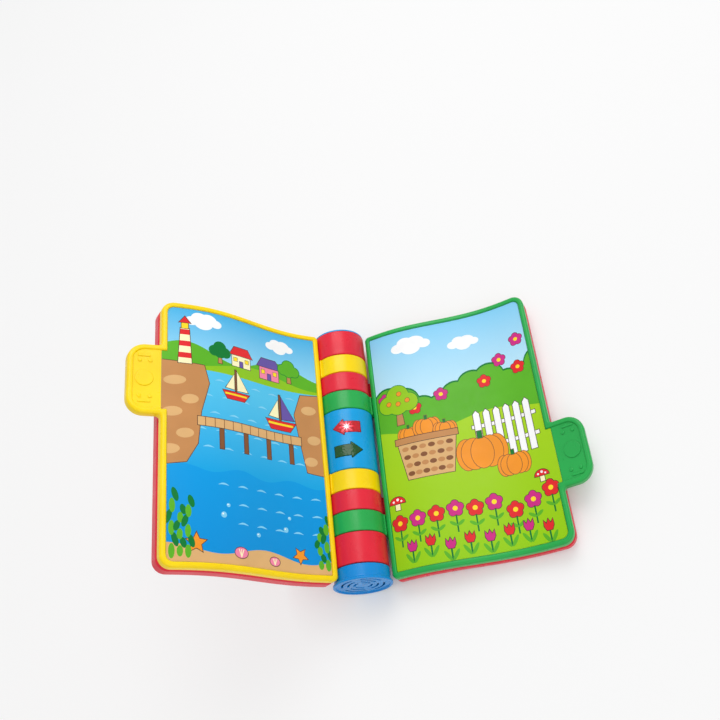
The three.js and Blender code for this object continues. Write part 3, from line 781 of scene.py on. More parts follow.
def cottage(x, y, size, wall, roof):
    shapes = built(x, y, size, (
        (wall, slab(-0.8, 0.8, 0, 1)), (roof, [(-1, 1), (1, 1), (0.6, 1.7), (-0.6, 1.7)])))
    shapes += drawn("purple", scaled(x, y, size, slab(-0.15, 0.15, 0, 0.5)), width=0.35)
    for side in (-1, 1):
        centre = x + side * 0.5 * size
        window = slab(centre - 1.6, centre + 1.6, y + 0.45 * size, y + 0.75 * size)
        shapes += drawn("yellow", window, width=0.35)
    return shapes


def pier():
    shapes = []
    for x in (44, 66, 88, 110):
        shapes += drawn("bark", slab(x - 1.8, x + 1.8, -16, 6))
    shapes += drawn("tan", slab(24, 120, 2, 9.5))
    for x in range(30, 118, 8):
        shapes.append(("bark", slab(x, x + 0.6, 2, 9.5)))
    return shapes


def sea_bed():
    """Deep water over sand, with starfish, shells, weed and bubbles."""
    shapes = [("deep", rolling(BELOW, -34, 2.5, 48))]
    for row in range(3):
        shapes += ripples(-46 - row * 15, 9 * (row % 2), 40 + 8 * row)
    shapes.append(("tan", rolling(BELOW, -97, 3.5, 80, 20)))
    for x, size, lean in ((22, 8, 0.3), (112, 6.5, 0.9)):
        shapes += drawn("orange", star(x, -95 + size * 0.2, size, size * 0.48, 5, lean))
    for x, y, size in ((58, -98, 5.5), (88, -101, 4.5)):
        shapes += drawn("pink", disc(x, y, size, size * 0.75, steps=22))
        for lean in (-0.5, 0, 0.5):
            groove = bar(x, y - size * 0.6, x + math.sin(lean) * size * 0.8, y + size * 0.5, 0.7)
            shapes.append(("cream", groove))
    for x, height in ((4, 52), (10, 38), (16, 46), (130, 34), (136, 44)):
        for k in range(6):
            sway = math.sin(k * 1.6)
            frond = disc(x + 2.4 * sway, -104 + height * k / 6 + 4, 2.3, height / 9, 0.3 * sway, 16)
            shapes.append(("deep_green" if k % 2 else "bush", frond))
    for x, y, size in ((44, -70, 2.4), (48, -62, 1.6), (100, -74, 2.2), (104, -64, 1.5), (74, -82, 1.8)):
        shapes.append(("wave", disc(x, y, size, steps=18)))
        shapes.append(("white", disc(x - 0.3 * size, y + 0.3 * size, size * 0.3, steps=10)))
    return shapes


def harbour():
    """Left page: a pier between two rocky heads, boats, hills with cottages, and a clear sea bed."""
    shapes = cloud(30, 98, 8) + cloud(104, 94, 7)
    shapes += [("bush", rolling(20, 70, 7, 90, 10)), ("hill", rolling(20, 60, 5, 120, 70))]
    shapes += cottage(64, 62, 11, "cream", "red") + cottage(92, 58, 12, "pink", "purple")
    shapes += tree(112, 70, 10, "bush") + tree(44, 70, 9, "deep_green")
    shapes.append(("water", slab(LEFT_EDGE, RIGHT_EDGE, -40, 52)))
    for row in range(5):
        shapes += ripples(44 - row * 15, 6 * (row % 3))
    shapes += sailing_boat(58, 36, 11, "cream") + sailing_boat(101, 20, 13, "purple")
    shapes += drawn("brown", [
        (LEFT_EDGE, -34), (15, -30), (24, -14), (27, 14), (34, 40), (30, 56), (LEFT_EDGE, 58)])
    shapes += drawn("brown", [
        (RIGHT_EDGE, -26), (124, -22), (120, 0), (115, 30), (122, 50), (RIGHT_EDGE, 52)])
    for x, y, across in (
        (6, 40, 9), (18, 24, 7), (4, 12, 8), (14, -6, 7), (2, -20, 8), (129, 36, 7), (132, 8, 6),
        (128, -12, 6),
    ):
        shapes.append(("tan", disc(x, y, across, 4.2, 0.1, 18)))
    return "sky", shapes + lighthouse(14, 56, 11) + pier() + sea_bed()


def pumpkin(x, y, size):
    shapes = []
    for dx, width in ((-0.75, 0.5), (0.75, 0.5), (-0.4, 0.62), (0.4, 0.62), (0, 0.55)):
        lobe = disc(x + dx * size, y, width * size, size * 0.82, steps=22)
        shapes += drawn("orange", lobe, "bark", 0.5)
    stalk = scaled(x, y, size, slab(-0.12, 0.12, 0.75, 1.15))
    return shapes + drawn("deep_green", stalk, "bark", 0.4)


def basket(x, y, size):
    shapes = built(x, y, size, [("tan", [(-1, 0.5), (-0.78, -0.8), (0.78, -0.8), (1, 0.5)])])
    for row in range(4):
        for k in range(6):
            strand_x = x + (-0.75 + 0.3 * k) * size * (0.86 + 0.05 * row)
            strand = disc(strand_x, y + (-0.6 + 0.3 * row) * size, 0.12 * size, 0.085 * size, steps=14)
            shapes.append(("brown" if (row + k) % 2 else "bark", strand))
    return shapes + built(x, y, size, [("brown", slab(-1.08, 1.08, 0.5, 0.72))])


def fence(x, y, posts, height, pitch=8.6, half=2.6):
    shapes = []
    for rail in (0.25, 0.65):
        shapes += drawn("white", slab(x - 5, x + pitch * posts - 2, y + rail * height, y + rail * height + 3))
    for k in range(posts):
        left = x + pitch * k
        shapes += drawn("white", [
            (left - half, y), (left + half, y), (left + half, y + height - 3), (left, y + height),
            (left - half, y + height - 3)])
    return shapes


def orchard():
    """Right page: a garden with a basket, pumpkins, a white fence and beds of flowers."""
    shapes = cloud(38, 92, 9) + cloud(84, 84, 7)
    for ink_name, level, size in (("deep_green", 33, 13.7), ("bush", 32, 13)):
        for k in range(11):
            y = level + 9 * math.sin(k * 1.3) + 9 * (k > 6)
            shapes.append((ink_name, disc(-4 + 15 * k, y, size, steps=30)))
    shapes.append(("bush", slab(LEFT_EDGE, RIGHT_EDGE, -10, 34)))
    shapes.append(("meadow", rolling(BELOW, 10, 5, 110, 40)))
    for x, y, petal in (
        (8, 44, "magenta"), (34, 30, "red"), (58, 38, "magenta"), (96, 42, "red"), (112, 58, "magenta"),
        (127, 46, "red"), (130, 72, "magenta"),
    ):
        shapes += flower(x, y, 5.6, petal)
    shapes += tree(20, 34, 17, "hill", "orange") + fence(84, -30, 6, 46)
    for x, y, size in ((84, -22, 17), (108, -38, 11), (26, 6, 8), (42, 10, 9.5), (57, 5, 8)):
        shapes += pumpkin(x, y, size)
    shapes += basket(40, -14, 25)
    generator = random.Random(5)
    for k in range(9):
        petal = "magenta" if k % 2 else "red"
        shapes += flower(8 + 15.6 * k, -70 + generator.uniform(-6, 5), 6.4, petal, 20)
    for k in range(8):
        petal = "red" if k % 2 else "magenta"
        shapes += tulip(16 + 15.6 * k, -92 + generator.uniform(-3, 4), 5, petal, 13)
    return "pale_sky", shapes + toadstool(8, -52, 7) + toadstool(128, -54, 6)


def seaside():
    """A plain bay for the spreads that lie closed."""
    shapes = cloud(40, 84, 10) + cloud(96, 70, 8) + [("water", rolling(BELOW, 20, 2, 60))]
    for row in range(5):
        shapes += ripples(8 - 15 * row, 5 * (row % 3))
    shapes += sailing_boat(48, 0, 20, "purple") + sailing_boat(100, -24, 16, "yellow")
    shapes.append(("tan", rolling(BELOW, -78, 5, 120, 30)))
    for x, y in ((22, -90), (66, -96), (112, -88)):
        shapes += drawn("orange", star(x, y, 7, 3.4))
    return "sky", shapes


def hillside():
    """Plain hills with trees and tulips for the spreads that lie closed."""
    shapes = cloud(44, 86, 9) + cloud(104, 92, 8)
    shapes += [("bush", rolling(BELOW, 40, 9, 120, 20)), ("hill", rolling(BELOW, 16, 7, 90, 60))]
    shapes += tree(34, 34, 20, "bush", "orange") + tree(102, 22, 24, "hill", "red")
    shapes.append(("meadow", rolling(BELOW, -34, 5, 100, 10)))
    for k in range(8):
        shapes += tulip(12 + 16 * k, -66 - 12 * (k % 2), 6.5, "red" if k % 2 else "magenta", 18)
    return "pale_sky", shapes


def card_outline(leaf, shrink):
    x0, x1 = LEAF_START + shrink, LEAF_END - shrink
    y0, y1 = LEAF_SHIFT - LEAF_LENGTH / 2 + shrink, LEAF_SHIFT + LEAF_LENGTH / 2 - shrink
    outer, inner = max(OUTER_CORNER - shrink, 1), max(INNER_CORNER - shrink, 1)
    corners = [(x0, y0, inner), (x1, y0, outer), (x1, y1, outer), (x0, y1, inner)]
    if leaf.tab:
        centre, length = leaf.tab
        low, high = centre - length / 2 + shrink, centre + length / 2 - shrink
        reach = LEAF_END + RIM - shrink
        corners[2:2] = [(x1, low, 0.8), (reach, low, 0.8), (reach, high, 0.8), (x1, high, 0.8)]
    return rounded(corners)


def printed_card(name, leaf, face, drawing):
    """A card whose printed face is divided along the edges of the drawing, one ink to each region."""
    ground, shapes = drawing()
    shrink = RIM + FIT + (0 if leaf.tab else SHELL_WALL)
    zero, step = (LEAF_START + RIM, 1) if face == "high" else (LEAF_END - RIM, -1)
    areas = [(ground, [tuple(point) for point, _ in card_outline(leaf, shrink)])]
    areas += [(ink_name, [(zero + step * x, y) for x, y in points]) for ink_name, points in shapes]
    verts, faces, inks = [], [], []
    for ink_name, points in areas:
        start = len(verts)
        verts.extend(Vector(point) for point in (points if signed_area(points) > 0 else points[::-1]))
        faces.append(list(range(start, len(verts))))
        inks.append(ink_name)
    cuts = []
    for u in stations:
        cuts.append((len(verts), len(verts) + 1))
        verts.extend([Vector((u, -SPINE_LENGTH)), Vector((u, SPINE_LENGTH))])
    made = delaunay_2d_cdt(verts, cuts, faces, 1, 1e-4)
    used = ["card"] + sorted(set(inks))
    depths = (CARD_RECESS, CARD_RECESS + CARD_THICKNESS)
    heights = [leaf.high - depth if face == "high" else leaf.low + depth for depth in depths]
    build = bmesh.new()
    layers = [[build.verts.new((p.x, p.y, middle(p.x) + height)) for p in made[0]] for height in heights]
    edges = {}
    for corners, sources in zip(made[2], made[5]):
        if 0 not in sources:
            continue
        top = build.faces.new([layers[0][i] for i in corners])
        top.material_index = used.index(inks[max(sources)])
        build.faces.new([layers[1][i] for i in reversed(corners)])
        for a, b in zip(corners, corners[1:] + corners[:1]):
            edges[(a, b)] = edges.get((a, b), 0) + 1
    for a, b in edges:
        if (b, a) not in edges:
            build.faces.new((layers[0][b], layers[0][a], layers[1][a], layers[1][b]))
    bmesh.ops.delete(build, geom=[vert for vert in build.verts if not vert.link_faces], context="VERTS")
    bmesh.ops.recalc_face_normals(build, faces=build.faces)
    mesh = placed(mesh_of(build), leaf.angle)
    for key in used:
        mesh.materials.append(INKS[key])
    finished(name, mesh, [], leaf.body, leaf.card_slot, name.replace("_print", ""))


# Leaf pieces


def leaf_outline(leaf):
    y0, y1 = LEAF_SHIFT - LEAF_LENGTH / 2, LEAF_SHIFT + LEAF_LENGTH / 2
    corners = [
        (LEAF_START, y0, INNER_CORNER), (LEAF_END, y0, OUTER_CORNER), (LEAF_END, y1, OUTER_CORNER),
        (LEAF_START, y1, INNER_CORNER)]
    if leaf.tab:
        centre, length = leaf.tab
        low, high, reach = centre - length / 2, centre + length / 2, LEAF_END + TAB_REACH
        corners[2:2] = [
            (LEAF_END, low, NECK_CORNER), (reach, low, TAB_CORNER), (reach, high, TAB_CORNER),
            (LEAF_END, high, NECK_CORNER)]
    return rounded(corners, 10)


def plain_outline(shrink):
    return card_outline(SimpleNamespace(tab=None), shrink)


def on_face(mesh, leaf, face):
    """The mesh set on the leaf's high face, or mirrored on to its low one."""
    if face == "high":
        return moved(mesh, Matrix.Translation((0, 0, leaf.high)))
    mesh = moved(mesh, Matrix.Scale(-1, 4, (0, 0, 1)))
    mesh.flip_normals()
    return moved(mesh, Matrix.Translation((0, 0, leaf.low)))


def face_cut(leaf, face, outline, depth, rounding):
    """A pocket cutter for one face of a leaf."""
    return on_face(moulded(outline, pocket_profile(-depth, 0, rounding)), leaf, face)


def tongue_slots(leaf):
    core = (leaf.low + leaf.high) / 2
    half = TONGUE_THICKNESS / 2 + FIT
    for band in bands_of(leaf.name):
        ys = inset(band, TONGUE_MARGIN - FIT)
        yield block((LEAF_START - 1, LEAF_START + TONGUE_LENGTH + FIT), ys, (core - half, core + half))


def tab_marks(leaf, face):
    """A button disc on the tab, with small dots and a bar above and below it."""
    u, y = LEAF_END + TAB_REACH / 2, leaf.tab[0]
    floor = TAB_RECESS + 0.5
    shapes = [disc(u, y, MARK_DISC, steps=48)]
    for side in (-1, 1):
        shapes += [disc(u + shift, y + side * DOT_OFFSET, MARK_DOT, steps=24) for shift in (-4.5, 3.5)]
        low, high = y + side * BAR_OFFSET - 1, y + side * BAR_OFFSET + 1
        corners = [(*point, 0.9) for point in slab(u - BAR_LENGTH / 2, u + BAR_LENGTH / 2, low, high)]
        shapes.append([tuple(point) for point, _ in rounded(corners)])
    for points in shapes:
        outline = []
        for i, point in enumerate(points):
            along = (Vector(points[(i + 1) % len(points)]) - Vector(points[i - 1])).normalized()
            outline.append((Vector(point), Vector((along.y, -along.x))))
        mark = moulded(outline, bead(-floor, MARK_HEIGHT - TAB_RECESS, 0, 0.45, 4)[5:])
        yield on_face(mark, leaf, face)


def tab_pocket_outline(leaf):
    centre, length = leaf.tab
    low, high = centre - length / 2 + RIM, centre + length / 2 - RIM
    start, reach, corner = LEAF_END - RIM, LEAF_END + TAB_REACH - RIM, TAB_CORNER - RIM
    return rounded([(start, low, 0.8), (reach, low, corner), (reach, high, corner), (start, high, 0.8)], 10)


def leaf_slab(leaf):
    return moulded(leaf_outline(leaf), bead(leaf.low, leaf.high, RIM_OUTER_ROUNDING, RIM_OUTER_ROUNDING))


def finished_leaf(leaf, mesh, name, node):
    mesh = placed(waved(mesh), leaf.angle)
    finished(f"{leaf.name}_{name}", mesh, [leaf.plastic], leaf.body, leaf.slot, f"{leaf.name}_{node}")


def page_moulding(leaf, seen_face):
    """A page frame: a slab with a soft bead round it, a pocket each side, and a sunk tab field."""
    mesh = leaf_slab(leaf)
    depth = CARD_RECESS + CARD_THICKNESS + FIT
    for face in ("low", "high"):
        pocket = face_cut(leaf, face, card_outline(leaf, RIM), depth, RIM_INNER_ROUNDING)
        tab_field = face_cut(leaf, face, tab_pocket_outline(leaf), TAB_RECESS, 1.0)
        mesh = combined(mesh, "DIFFERENCE", pocket, tab_field)
    mesh = combined(mesh, "UNION", *tab_marks(leaf, seen_face))
    finished_leaf(leaf, combined(mesh, "DIFFERENCE", *tongue_slots(leaf)), "moulding", "frame")


def cover_pieces(leaf, inner_face):
    """A cover's shell, open on its inner side, and the liner panel inside the walls."""
    inner_depth = leaf.high - leaf.low - SHELL_WALL
    hollow = face_cut(leaf, inner_face, plain_outline(SHELL_WALL), inner_depth, 0.4)
    shell = combined(leaf_slab(leaf), "DIFFERENCE", hollow, *tongue_slots(leaf))
    finished_leaf(leaf, shell, "tray", "shell")
    top = leaf.high if inner_face == "high" else leaf.low
    ends = sorted((top, top - PANEL_THICKNESS if inner_face == "high" else top + PANEL_THICKNESS))
    panel = moulded(plain_outline(SHELL_WALL + FIT), bead(ends[0], ends[1], 0.5, 0.5, 3))
    depth = CARD_RECESS + CARD_THICKNESS + FIT / 2
    recess = face_cut(leaf, inner_face, plain_outline(RIM + SHELL_WALL), depth, 0.6)
    finished_leaf(leaf, combined(panel, "DIFFERENCE", recess), "liner", "panel")


def hinge_rings(leaf):
    """A leaf's two rings on the spine, each with its shoulder and the tongue that plugs into the leaf."""
    core = (leaf.low + leaf.high) / 2
    half = TONGUE_THICKNESS / 2
    for band, end in zip(bands_of(leaf.name), ("far", "near")):
        ys = inset(band, TURN_GAP / 2)
        margin = inset(band, TONGUE_MARGIN)
        ring = pipe(BAND_RADIUS, RING_BORE, ys)
        shoulder = block((leaf.ring_start, LEAF_START - FIT), ys, (leaf.low, leaf.high), 0.5)
        tongue = block((LEAF_START - 1, LEAF_START + TONGUE_LENGTH), margin, (core - half, core + half))
        arm = waved(combined(shoulder, "UNION", tongue))
        arm = combined(arm, "DIFFERENCE", rod(RING_BORE + TURN_GAP, (ys[0] - 1, ys[1] + 1)))
        mesh = placed(combined(ring, "UNION", arm), leaf.angle)
        names = f"{leaf.name}_hinge_{end}", f"{leaf.name}_ring_{end}"
        finished(names[0], mesh, [leaf.plastic], leaf.body, leaf.slot, names[1])


# Spine pieces

STAND_UP = Matrix.Rotation(math.pi / 2, 4, "X")
lamp_turn = Matrix.Rotation(math.radians(90 - LAMP_ANGLE), 4, "Y")
housing_screws = [centre_band.near + 1.8, centre_band.far - 1.8]
door_screw = centre_y + 22


def spine_piece(name, mesh, material, node):
    finished(name, mesh, [material], "spine", "blue_plastic", node)


def arrow_outline(side, grow):
    tip = ARROW_LENGTH / 2 + 1.6 * grow
    neck = ARROW_LENGTH / 2 - ARROW_HEAD - grow
    tail = -ARROW_LENGTH / 2 - grow
    barb = ARROW_HEAD_WIDTH / 2 + 1.6 * grow
    shaft = ARROW_SHAFT_WIDTH / 2 + grow
    corners = [
        (tip, 0, 0.7), (neck, barb, 0.7), (neck, shaft, 0.3), (tail, shaft, 0.6), (tail, -shaft, 0.6),
        (neck, -shaft, 0.3), (neck, -barb, 0.7)]
    if side < 0:
        corners = [(-x, y, radius) for x, y, radius in corners[::-1]]
    return rounded(corners, 4)


def arrow_lens(name, y, side, material, slot):
    """An arrow wrapped over the spine: drawn flat, then every point raised to its radius."""
    thickness = BAND_RADIUS + LENS_PROUD - RING_BORE
    flat = moulded(arrow_outline(side, 0), bead(-thickness, 0, 0, 0.45, 4)[4:])
    top = BAND_RADIUS + LENS_PROUD
    grid = [-ARROW_LENGTH / 2 + 0.8 * i for i in range(1, 29)]
    lens = mapped(flat, grid, lambda s, along, n: (s, y + along, math.sqrt((top + n) ** 2 - s ** 2)))
    finished(name + "_window", placed(moved(lens, lamp_turn)), [material], "spine", slot, name)


def arrow_cutter(y, side):
    cutter = moulded(arrow_outline(side, FIT), [(0, 5), (0, BEYOND)])
    return moved(cutter, lamp_turn @ Matrix.Translation((0, y, 0)))


def upright(radius, y, zs, steps=32):
    return moved(rod(radius, zs, steps), Matrix.Translation((0, y, 0)) @ STAND_UP)


def screw_hole(y):
    return upright(SCREW_HEAD + FIT, y, (-AXIS_HEIGHT - 1, SCREW_SEAT + SCREW_HEAD_HEIGHT + FIT))


def door_wedge(grow):
    spread = BEYOND * math.tan(math.radians(DOOR_HALF_ANGLE)) + grow
    corners = rounded([(0, 0, 0), (-spread, -BEYOND, 0), (spread, -BEYOND, 0)])
    half = DOOR_LENGTH / 2 + grow
    wedge = moulded(corners, [(0, -half), (0, half)])
    return moved(wedge, Matrix.Translation((0, centre_y, 0)) @ STAND_UP)


def centre_housing():
    """The fixed blue band: two half shells round the tube that meet beside the lamps."""
    sides = (
        ("top", (FIT / 2, BEYOND), [arrow_cutter(RED_ARROW_Y, -1), arrow_cutter(GREEN_ARROW_Y, 1)]),
        ("bottom", (-BEYOND, -FIT / 2), [door_wedge(FIT), *[screw_hole(y) for y in housing_screws]]),
    )
    for side, span, cutters in sides:
        shell = pipe(BAND_RADIUS, RING_BORE, inset(centre_band, TURN_GAP / 2))
        half = moved(block((-BEYOND, BEYOND), (-SPINE_LENGTH / 2, SPINE_LENGTH / 2), span), lamp_turn)
        shell = placed(combined(combined(shell, "INTERSECT", half), "DIFFERENCE", *cutters))
        spine_piece("centre_band_" + side, shell, blue_plastic, "centre_housing_" + side)


def battery_door():
    shell = combined(pipe(BAND_RADIUS, RING_BORE, inset(centre_band, 1), 0.3), "INTERSECT", door_wedge(0))
    foot = block(
        (-FOOT_WIDTH / 2, FOOT_WIDTH / 2), (centre_y - FOOT_LENGTH / 2, centre_y + FOOT_LENGTH / 2),
        (-AXIS_HEIGHT, -RING_BORE - TURN_GAP), 0.6)
    door = combined(combined(shell, "UNION", foot), "DIFFERENCE", screw_hole(door_screw))
    spine_piece("door_with_foot", placed(door), blue_plastic, "battery_door")


# Geometry Nodes


def node_group(name, sizes):
    """A tree with one named input for each size, what its input node gives, and its output node."""
    tree = bpy.data.node_groups.new(name, "GeometryNodeTree")
    tree.interface.new_socket("Geometry", in_out="INPUT", socket_type="NodeSocketGeometry")
    for label, value in sizes.items():
        kind = "NodeSocketInt" if isinstance(value, int) else "NodeSocketFloat"
        tree.interface.new_socket(label, in_out="INPUT", socket_type=kind)
    tree.interface.new_socket("Geometry", in_out="OUTPUT", socket_type="NodeSocketGeometry")
    return tree, added(tree, "NodeGroupInput").outputs, added(tree, "NodeGroupOutput")


def grown_by(tree, name, sizes, mesh=None):
    """The mesh that the tree makes with these sizes."""
    piece = linked(mesh or bpy.data.meshes.new(name), name)
    modifier = piece.modifiers.new(name, "NODES")
    modifier.node_group = tree
    sockets = {item.name: item.identifier for item in tree.interface.items_tree if item.in_out == "INPUT"}
    for label, value in sizes.items():
        modifier[sockets[label]] = value
    return evaluated(piece)


def instances(tree, points, shape):
    copies = added(tree, "GeometryNodeInstanceOnPoints")
    wire(tree, (points, copies, "Points"), (shape, copies, "Instance"))
    return copies


def slot_cutters():
    """Curved slots in rows: each row is an arc swept by a rectangle, set four times round the face."""
    sizes = {
        "First radius": SLOT_FIRST, "Row step": SLOT_STEP, "Slot width": SLOT_WIDTH, "Depth": SLOT_DEPTH,
        "Sweep": math.radians(SLOT_SPAN)}
    tree, given, result = node_group("speaker_slots", sizes)
    rows = added(tree, "GeometryNodeJoinGeometry")
    start = math_node(tree, "MULTIPLY", given["Sweep"], -0.5)
    for row in range(SLOT_ROWS):
        arc = added(tree, "GeometryNodeCurveArc", Resolution=24)
        steps_out = math_node(tree, "MULTIPLY", given["Row step"], row)
        radius = math_node(tree, "ADD", given["First radius"], steps_out)
        wire(
            tree, (radius, arc, "Radius"), (given["Sweep"], arc, "Sweep Angle"), (start, arc, "Start Angle"),
            (arc.outputs["Curve"], rows, "Geometry"))
    section = added(tree, "GeometryNodeCurvePrimitiveQuadrilateral")
    sweep = added(tree, "GeometryNodeCurveToMesh", Fill_Caps=True)
    corners = added(tree, "GeometryNodeMeshLine", Count=4, Offset=(0, 0, 0))
    index = added(tree, "GeometryNodeInputIndex").outputs["Index"]
    quarter = math_node(tree, "MULTIPLY", math_node(tree, "ADD", index, 0.5), math.pi / 2)
    turn = added(tree, "ShaderNodeCombineXYZ")
    copies = instances(tree, corners.outputs["Mesh"], sweep.outputs["Mesh"])
    wire(
        tree, (given["Slot width"], section, "Width"), (given["Depth"], section, "Height"),
        (rows.outputs["Geometry"], sweep, "Curve"), (section.outputs["Curve"], sweep, "Profile Curve"),
        (quarter, turn, "Z"), (turn.outputs["Vector"], copies, "Rotation"))
    finish_tree(tree, copies, result, black_plastic)
    build = bmesh.new()
    build.from_mesh(grown_by(tree, "slots", sizes))
    bmesh.ops.remove_doubles(build, verts=build.verts, dist=1e-4)
    bmesh.ops.recalc_face_normals(build, faces=build.faces)
    return mesh_of(build)


def finish_tree(tree, copies, result, material):
    """The copies made real and given their material."""
    realize = added(tree, "GeometryNodeRealizeInstances")
    paint = added(tree, "GeometryNodeSetMaterial", Material=material)
    wire(
        tree, (copies.outputs["Instances"], realize, "Geometry"),
        (realize.outputs["Geometry"], paint, "Geometry"), (paint.outputs["Geometry"], result, "Geometry"))


def speaker_cap():
    """The turned cap: a rounded lip round a slightly sunk face with rows of curved slots."""
    face = -SPINE_LENGTH / 2
    bore = BAND_RADIUS - CAP_WALL
    section = [
        (0, face + CAP_DISH, 0), (CAP_LIP_RADIUS - CAP_RIM, face + CAP_DISH, 0.35),
        (CAP_LIP_RADIUS - CAP_RIM, face, 0.4), (CAP_LIP_RADIUS, face, 0.75),
        (CAP_LIP_RADIUS, face + CAP_LIP_THICKNESS, 0.6), (BAND_RADIUS, face + CAP_LIP_THICKNESS + 1.2, 1.2),
        (BAND_RADIUS, cap_band.far - TURN_GAP, 0.8), (RING_BORE, cap_band.far - TURN_GAP, 0.2),
        (RING_BORE, cap_band.far - CAP_SOCKET, 0), (bore, cap_band.far - CAP_SOCKET, 0),
        (bore, face + CAP_DISH + CAP_FACE, 0), (0, face + CAP_DISH + CAP_FACE, 0)]
    cap = turned(rounded(section, 5))
    cutters = moved(slot_cutters(), Matrix.Translation((0, face + 2, 0)) @ STAND_UP)
    spine_piece("slotted_cap", placed(combined(cap, "DIFFERENCE", cutters)), shaded_cap_blue, "speaker_cap")


def far_cap():
    """The flange with the switch slot, and the plug wall that sits in the tube."""
    end = SPINE_LENGTH / 2
    plug = TUBE_RADIUS - TUBE_WALL
    flange = BAND_RADIUS - FLANGE_INSET
    inner, deep = end - FAR_FLANGE, end - PLUG_DEPTH
    section = [
        (0, inner, 0), (plug - PLUG_WALL, inner, 0), (plug - PLUG_WALL, deep, 0.3), (plug - FIT, deep, 0.4),
        (plug - FIT, inner, 0), (flange, inner, 0.2), (flange, end, 0.8), (0, end, 0)]
    cap = turned(rounded(section, 5))
    wide, tall = SWITCH_SLOT
    slot = block((-wide / 2, wide / 2), (end - 3, end + 1), (-tall / 2, tall / 2))
    spine_piece("far_cap", placed(combined(cap, "DIFFERENCE", slot)), blue_plastic, "far_end_cap")


def ribbed_knob():
    """The switch knob: a rounded grip with a row of ribs, on its sliding plate."""
    end = SPINE_LENGTH / 2
    x = -(SWITCH_SLOT[0] - KNOB_WIDTH) / 2 + FIT
    back = end - FAR_FLANGE - FIT
    half, tall = KNOB_WIDTH / 2, KNOB_HEIGHT / 2
    grip = block((x - half, x + half), (back - 1, end + KNOB_PROUD - 0.4), (-tall, tall), 0.4)
    plate = block((x - half, x + half), (back - KNOB_PLATE, back), (-tall - 1.5, tall + 1.5))
    sizes = {"Rib count": 4, "Rib pitch": 1.4, "Rib width": 0.7, "Rib height": 3.4}
    tree, given, result = node_group("knob_ribs", sizes)
    row = added(tree, "GeometryNodeMeshLine")
    offset = added(tree, "ShaderNodeCombineXYZ")
    rib = added(tree, "GeometryNodeMeshCylinder", Vertices=12)
    radius = math_node(tree, "MULTIPLY", given["Rib width"], 0.5)
    wire(
        tree, (given["Rib pitch"], offset, "X"), (given["Rib count"], row, "Count"),
        (offset.outputs["Vector"], row, "Offset"), (radius, rib, "Radius"),
        (given["Rib height"], rib, "Depth"))
    copies = instances(tree, row.outputs["Mesh"], rib.outputs["Mesh"])
    finish_tree(tree, copies, result, black_plastic)
    ribs = grown_by(tree, "ribs", sizes)
    ribs = moved(ribs, Matrix.Translation((x - 2.1, end + KNOB_PROUD - 0.36, 0)))
    knob = placed(combined(plate, "UNION", grip, ribs))
    finished("switch_knob", knob, [black_plastic], "power_switch", "black_plastic", "power_switch_knob")


def cross_head_screws():
    """One screw with a cross recess, set at each of the three screw places."""
    height = SCREW_HEAD_HEIGHT
    head = upright(SCREW_HEAD, 0, (SCREW_SEAT, SCREW_SEAT + height))
    shank = upright(SCREW_SHANK, 0, (SCREW_SEAT + height - 0.2, SCREW_SEAT + height + SCREW_LENGTH), 20)
    depth = (SCREW_SEAT - 0.5, SCREW_SEAT + 0.6)
    recess = [block((-wide, wide), (-tall, tall), depth) for wide, tall in ((1.0, 0.2), (0.2, 1.0))]
    screw = combined(combined(head, "UNION", shank), "DIFFERENCE", *recess)
    model = linked(screw, "screw_model")
    places = bpy.data.meshes.new("screw_places")
    places.from_pydata([(0, y, 0) for y in (*housing_screws, door_screw)], [], [])
    tree, given, result = node_group("screw_set", {"Size": 1.0})
    pattern = added(tree, "GeometryNodeObjectInfo", Object=model)
    size = added(tree, "ShaderNodeCombineXYZ")
    copies = instances(tree, given["Geometry"], pattern.outputs["Geometry"])
    wire(tree, *[(given["Size"], size, axis) for axis in "XYZ"], (size.outputs["Vector"], copies, "Scale"))
    finish_tree(tree, copies, result, steel)
    screws = grown_by(tree, "screws", {"Size": 1.0}, places)
    bpy.data.objects.remove(model)
    finished(
        "cross_head_screws", placed(screws), [steel], "spine", "plated_steel", "battery_door_screw",
        "housing_screw_near", "housing_screw_far")


# Camera, floor and light


def camera():
    yaw, pitch, roll = (math.radians(a) for a in (CAMERA_YAW, CAMERA_PITCH, CAMERA_ROLL))
    ahead = math.cos(pitch)
    forward = Vector((math.sin(yaw) * ahead, math.cos(yaw) * ahead, -math.sin(pitch)))
    level = Vector((math.cos(yaw), -math.sin(yaw), 0))
    up = level.cross(forward)
    axes = (
        level * math.cos(roll) + up * math.sin(roll), up * math.cos(roll) - level * math.sin(roll), -forward)
    lean = Matrix.Rotation(math.radians(HALF_OPEN - tilt), 4, "Y")
    turned_axes = [lean @ axis for axis in axes]
    matrix = Matrix(turned_axes).transposed().to_4x4()
    matrix.translation = (lean @ Vector(CAMERA_PLACE) + Vector((0, 0, AXIS_HEIGHT))) * MM
    data = bpy.data.cameras.new("camera")
    data.lens = CAMERA_LENS
    data.sensor_width = 36
    view = linked(data, "camera")
    view.matrix_world = matrix
    scene.camera = view


def area_light(name, place, size, power, target=(0, 0, 0.03)):
    data = bpy.data.lights.new(name, "AREA")
    data.size = size
    data.energy = power
    light = linked(data, name)
    light.location = place
    light.rotation_euler = (Vector(target) - Vector(place)).to_track_quat("-Z", "Y").to_euler()


def seen_directly(tree):
    """1 for camera, glossy and transmission rays."""
    path = added(tree, "ShaderNodeLightPath").outputs
    seen = math_node(tree, "MAXIMUM", path["Is Camera Ray"], path["Is Glossy Ray"])
    return math_node(tree, "MAXIMUM", seen, path["Is Transmission Ray"])


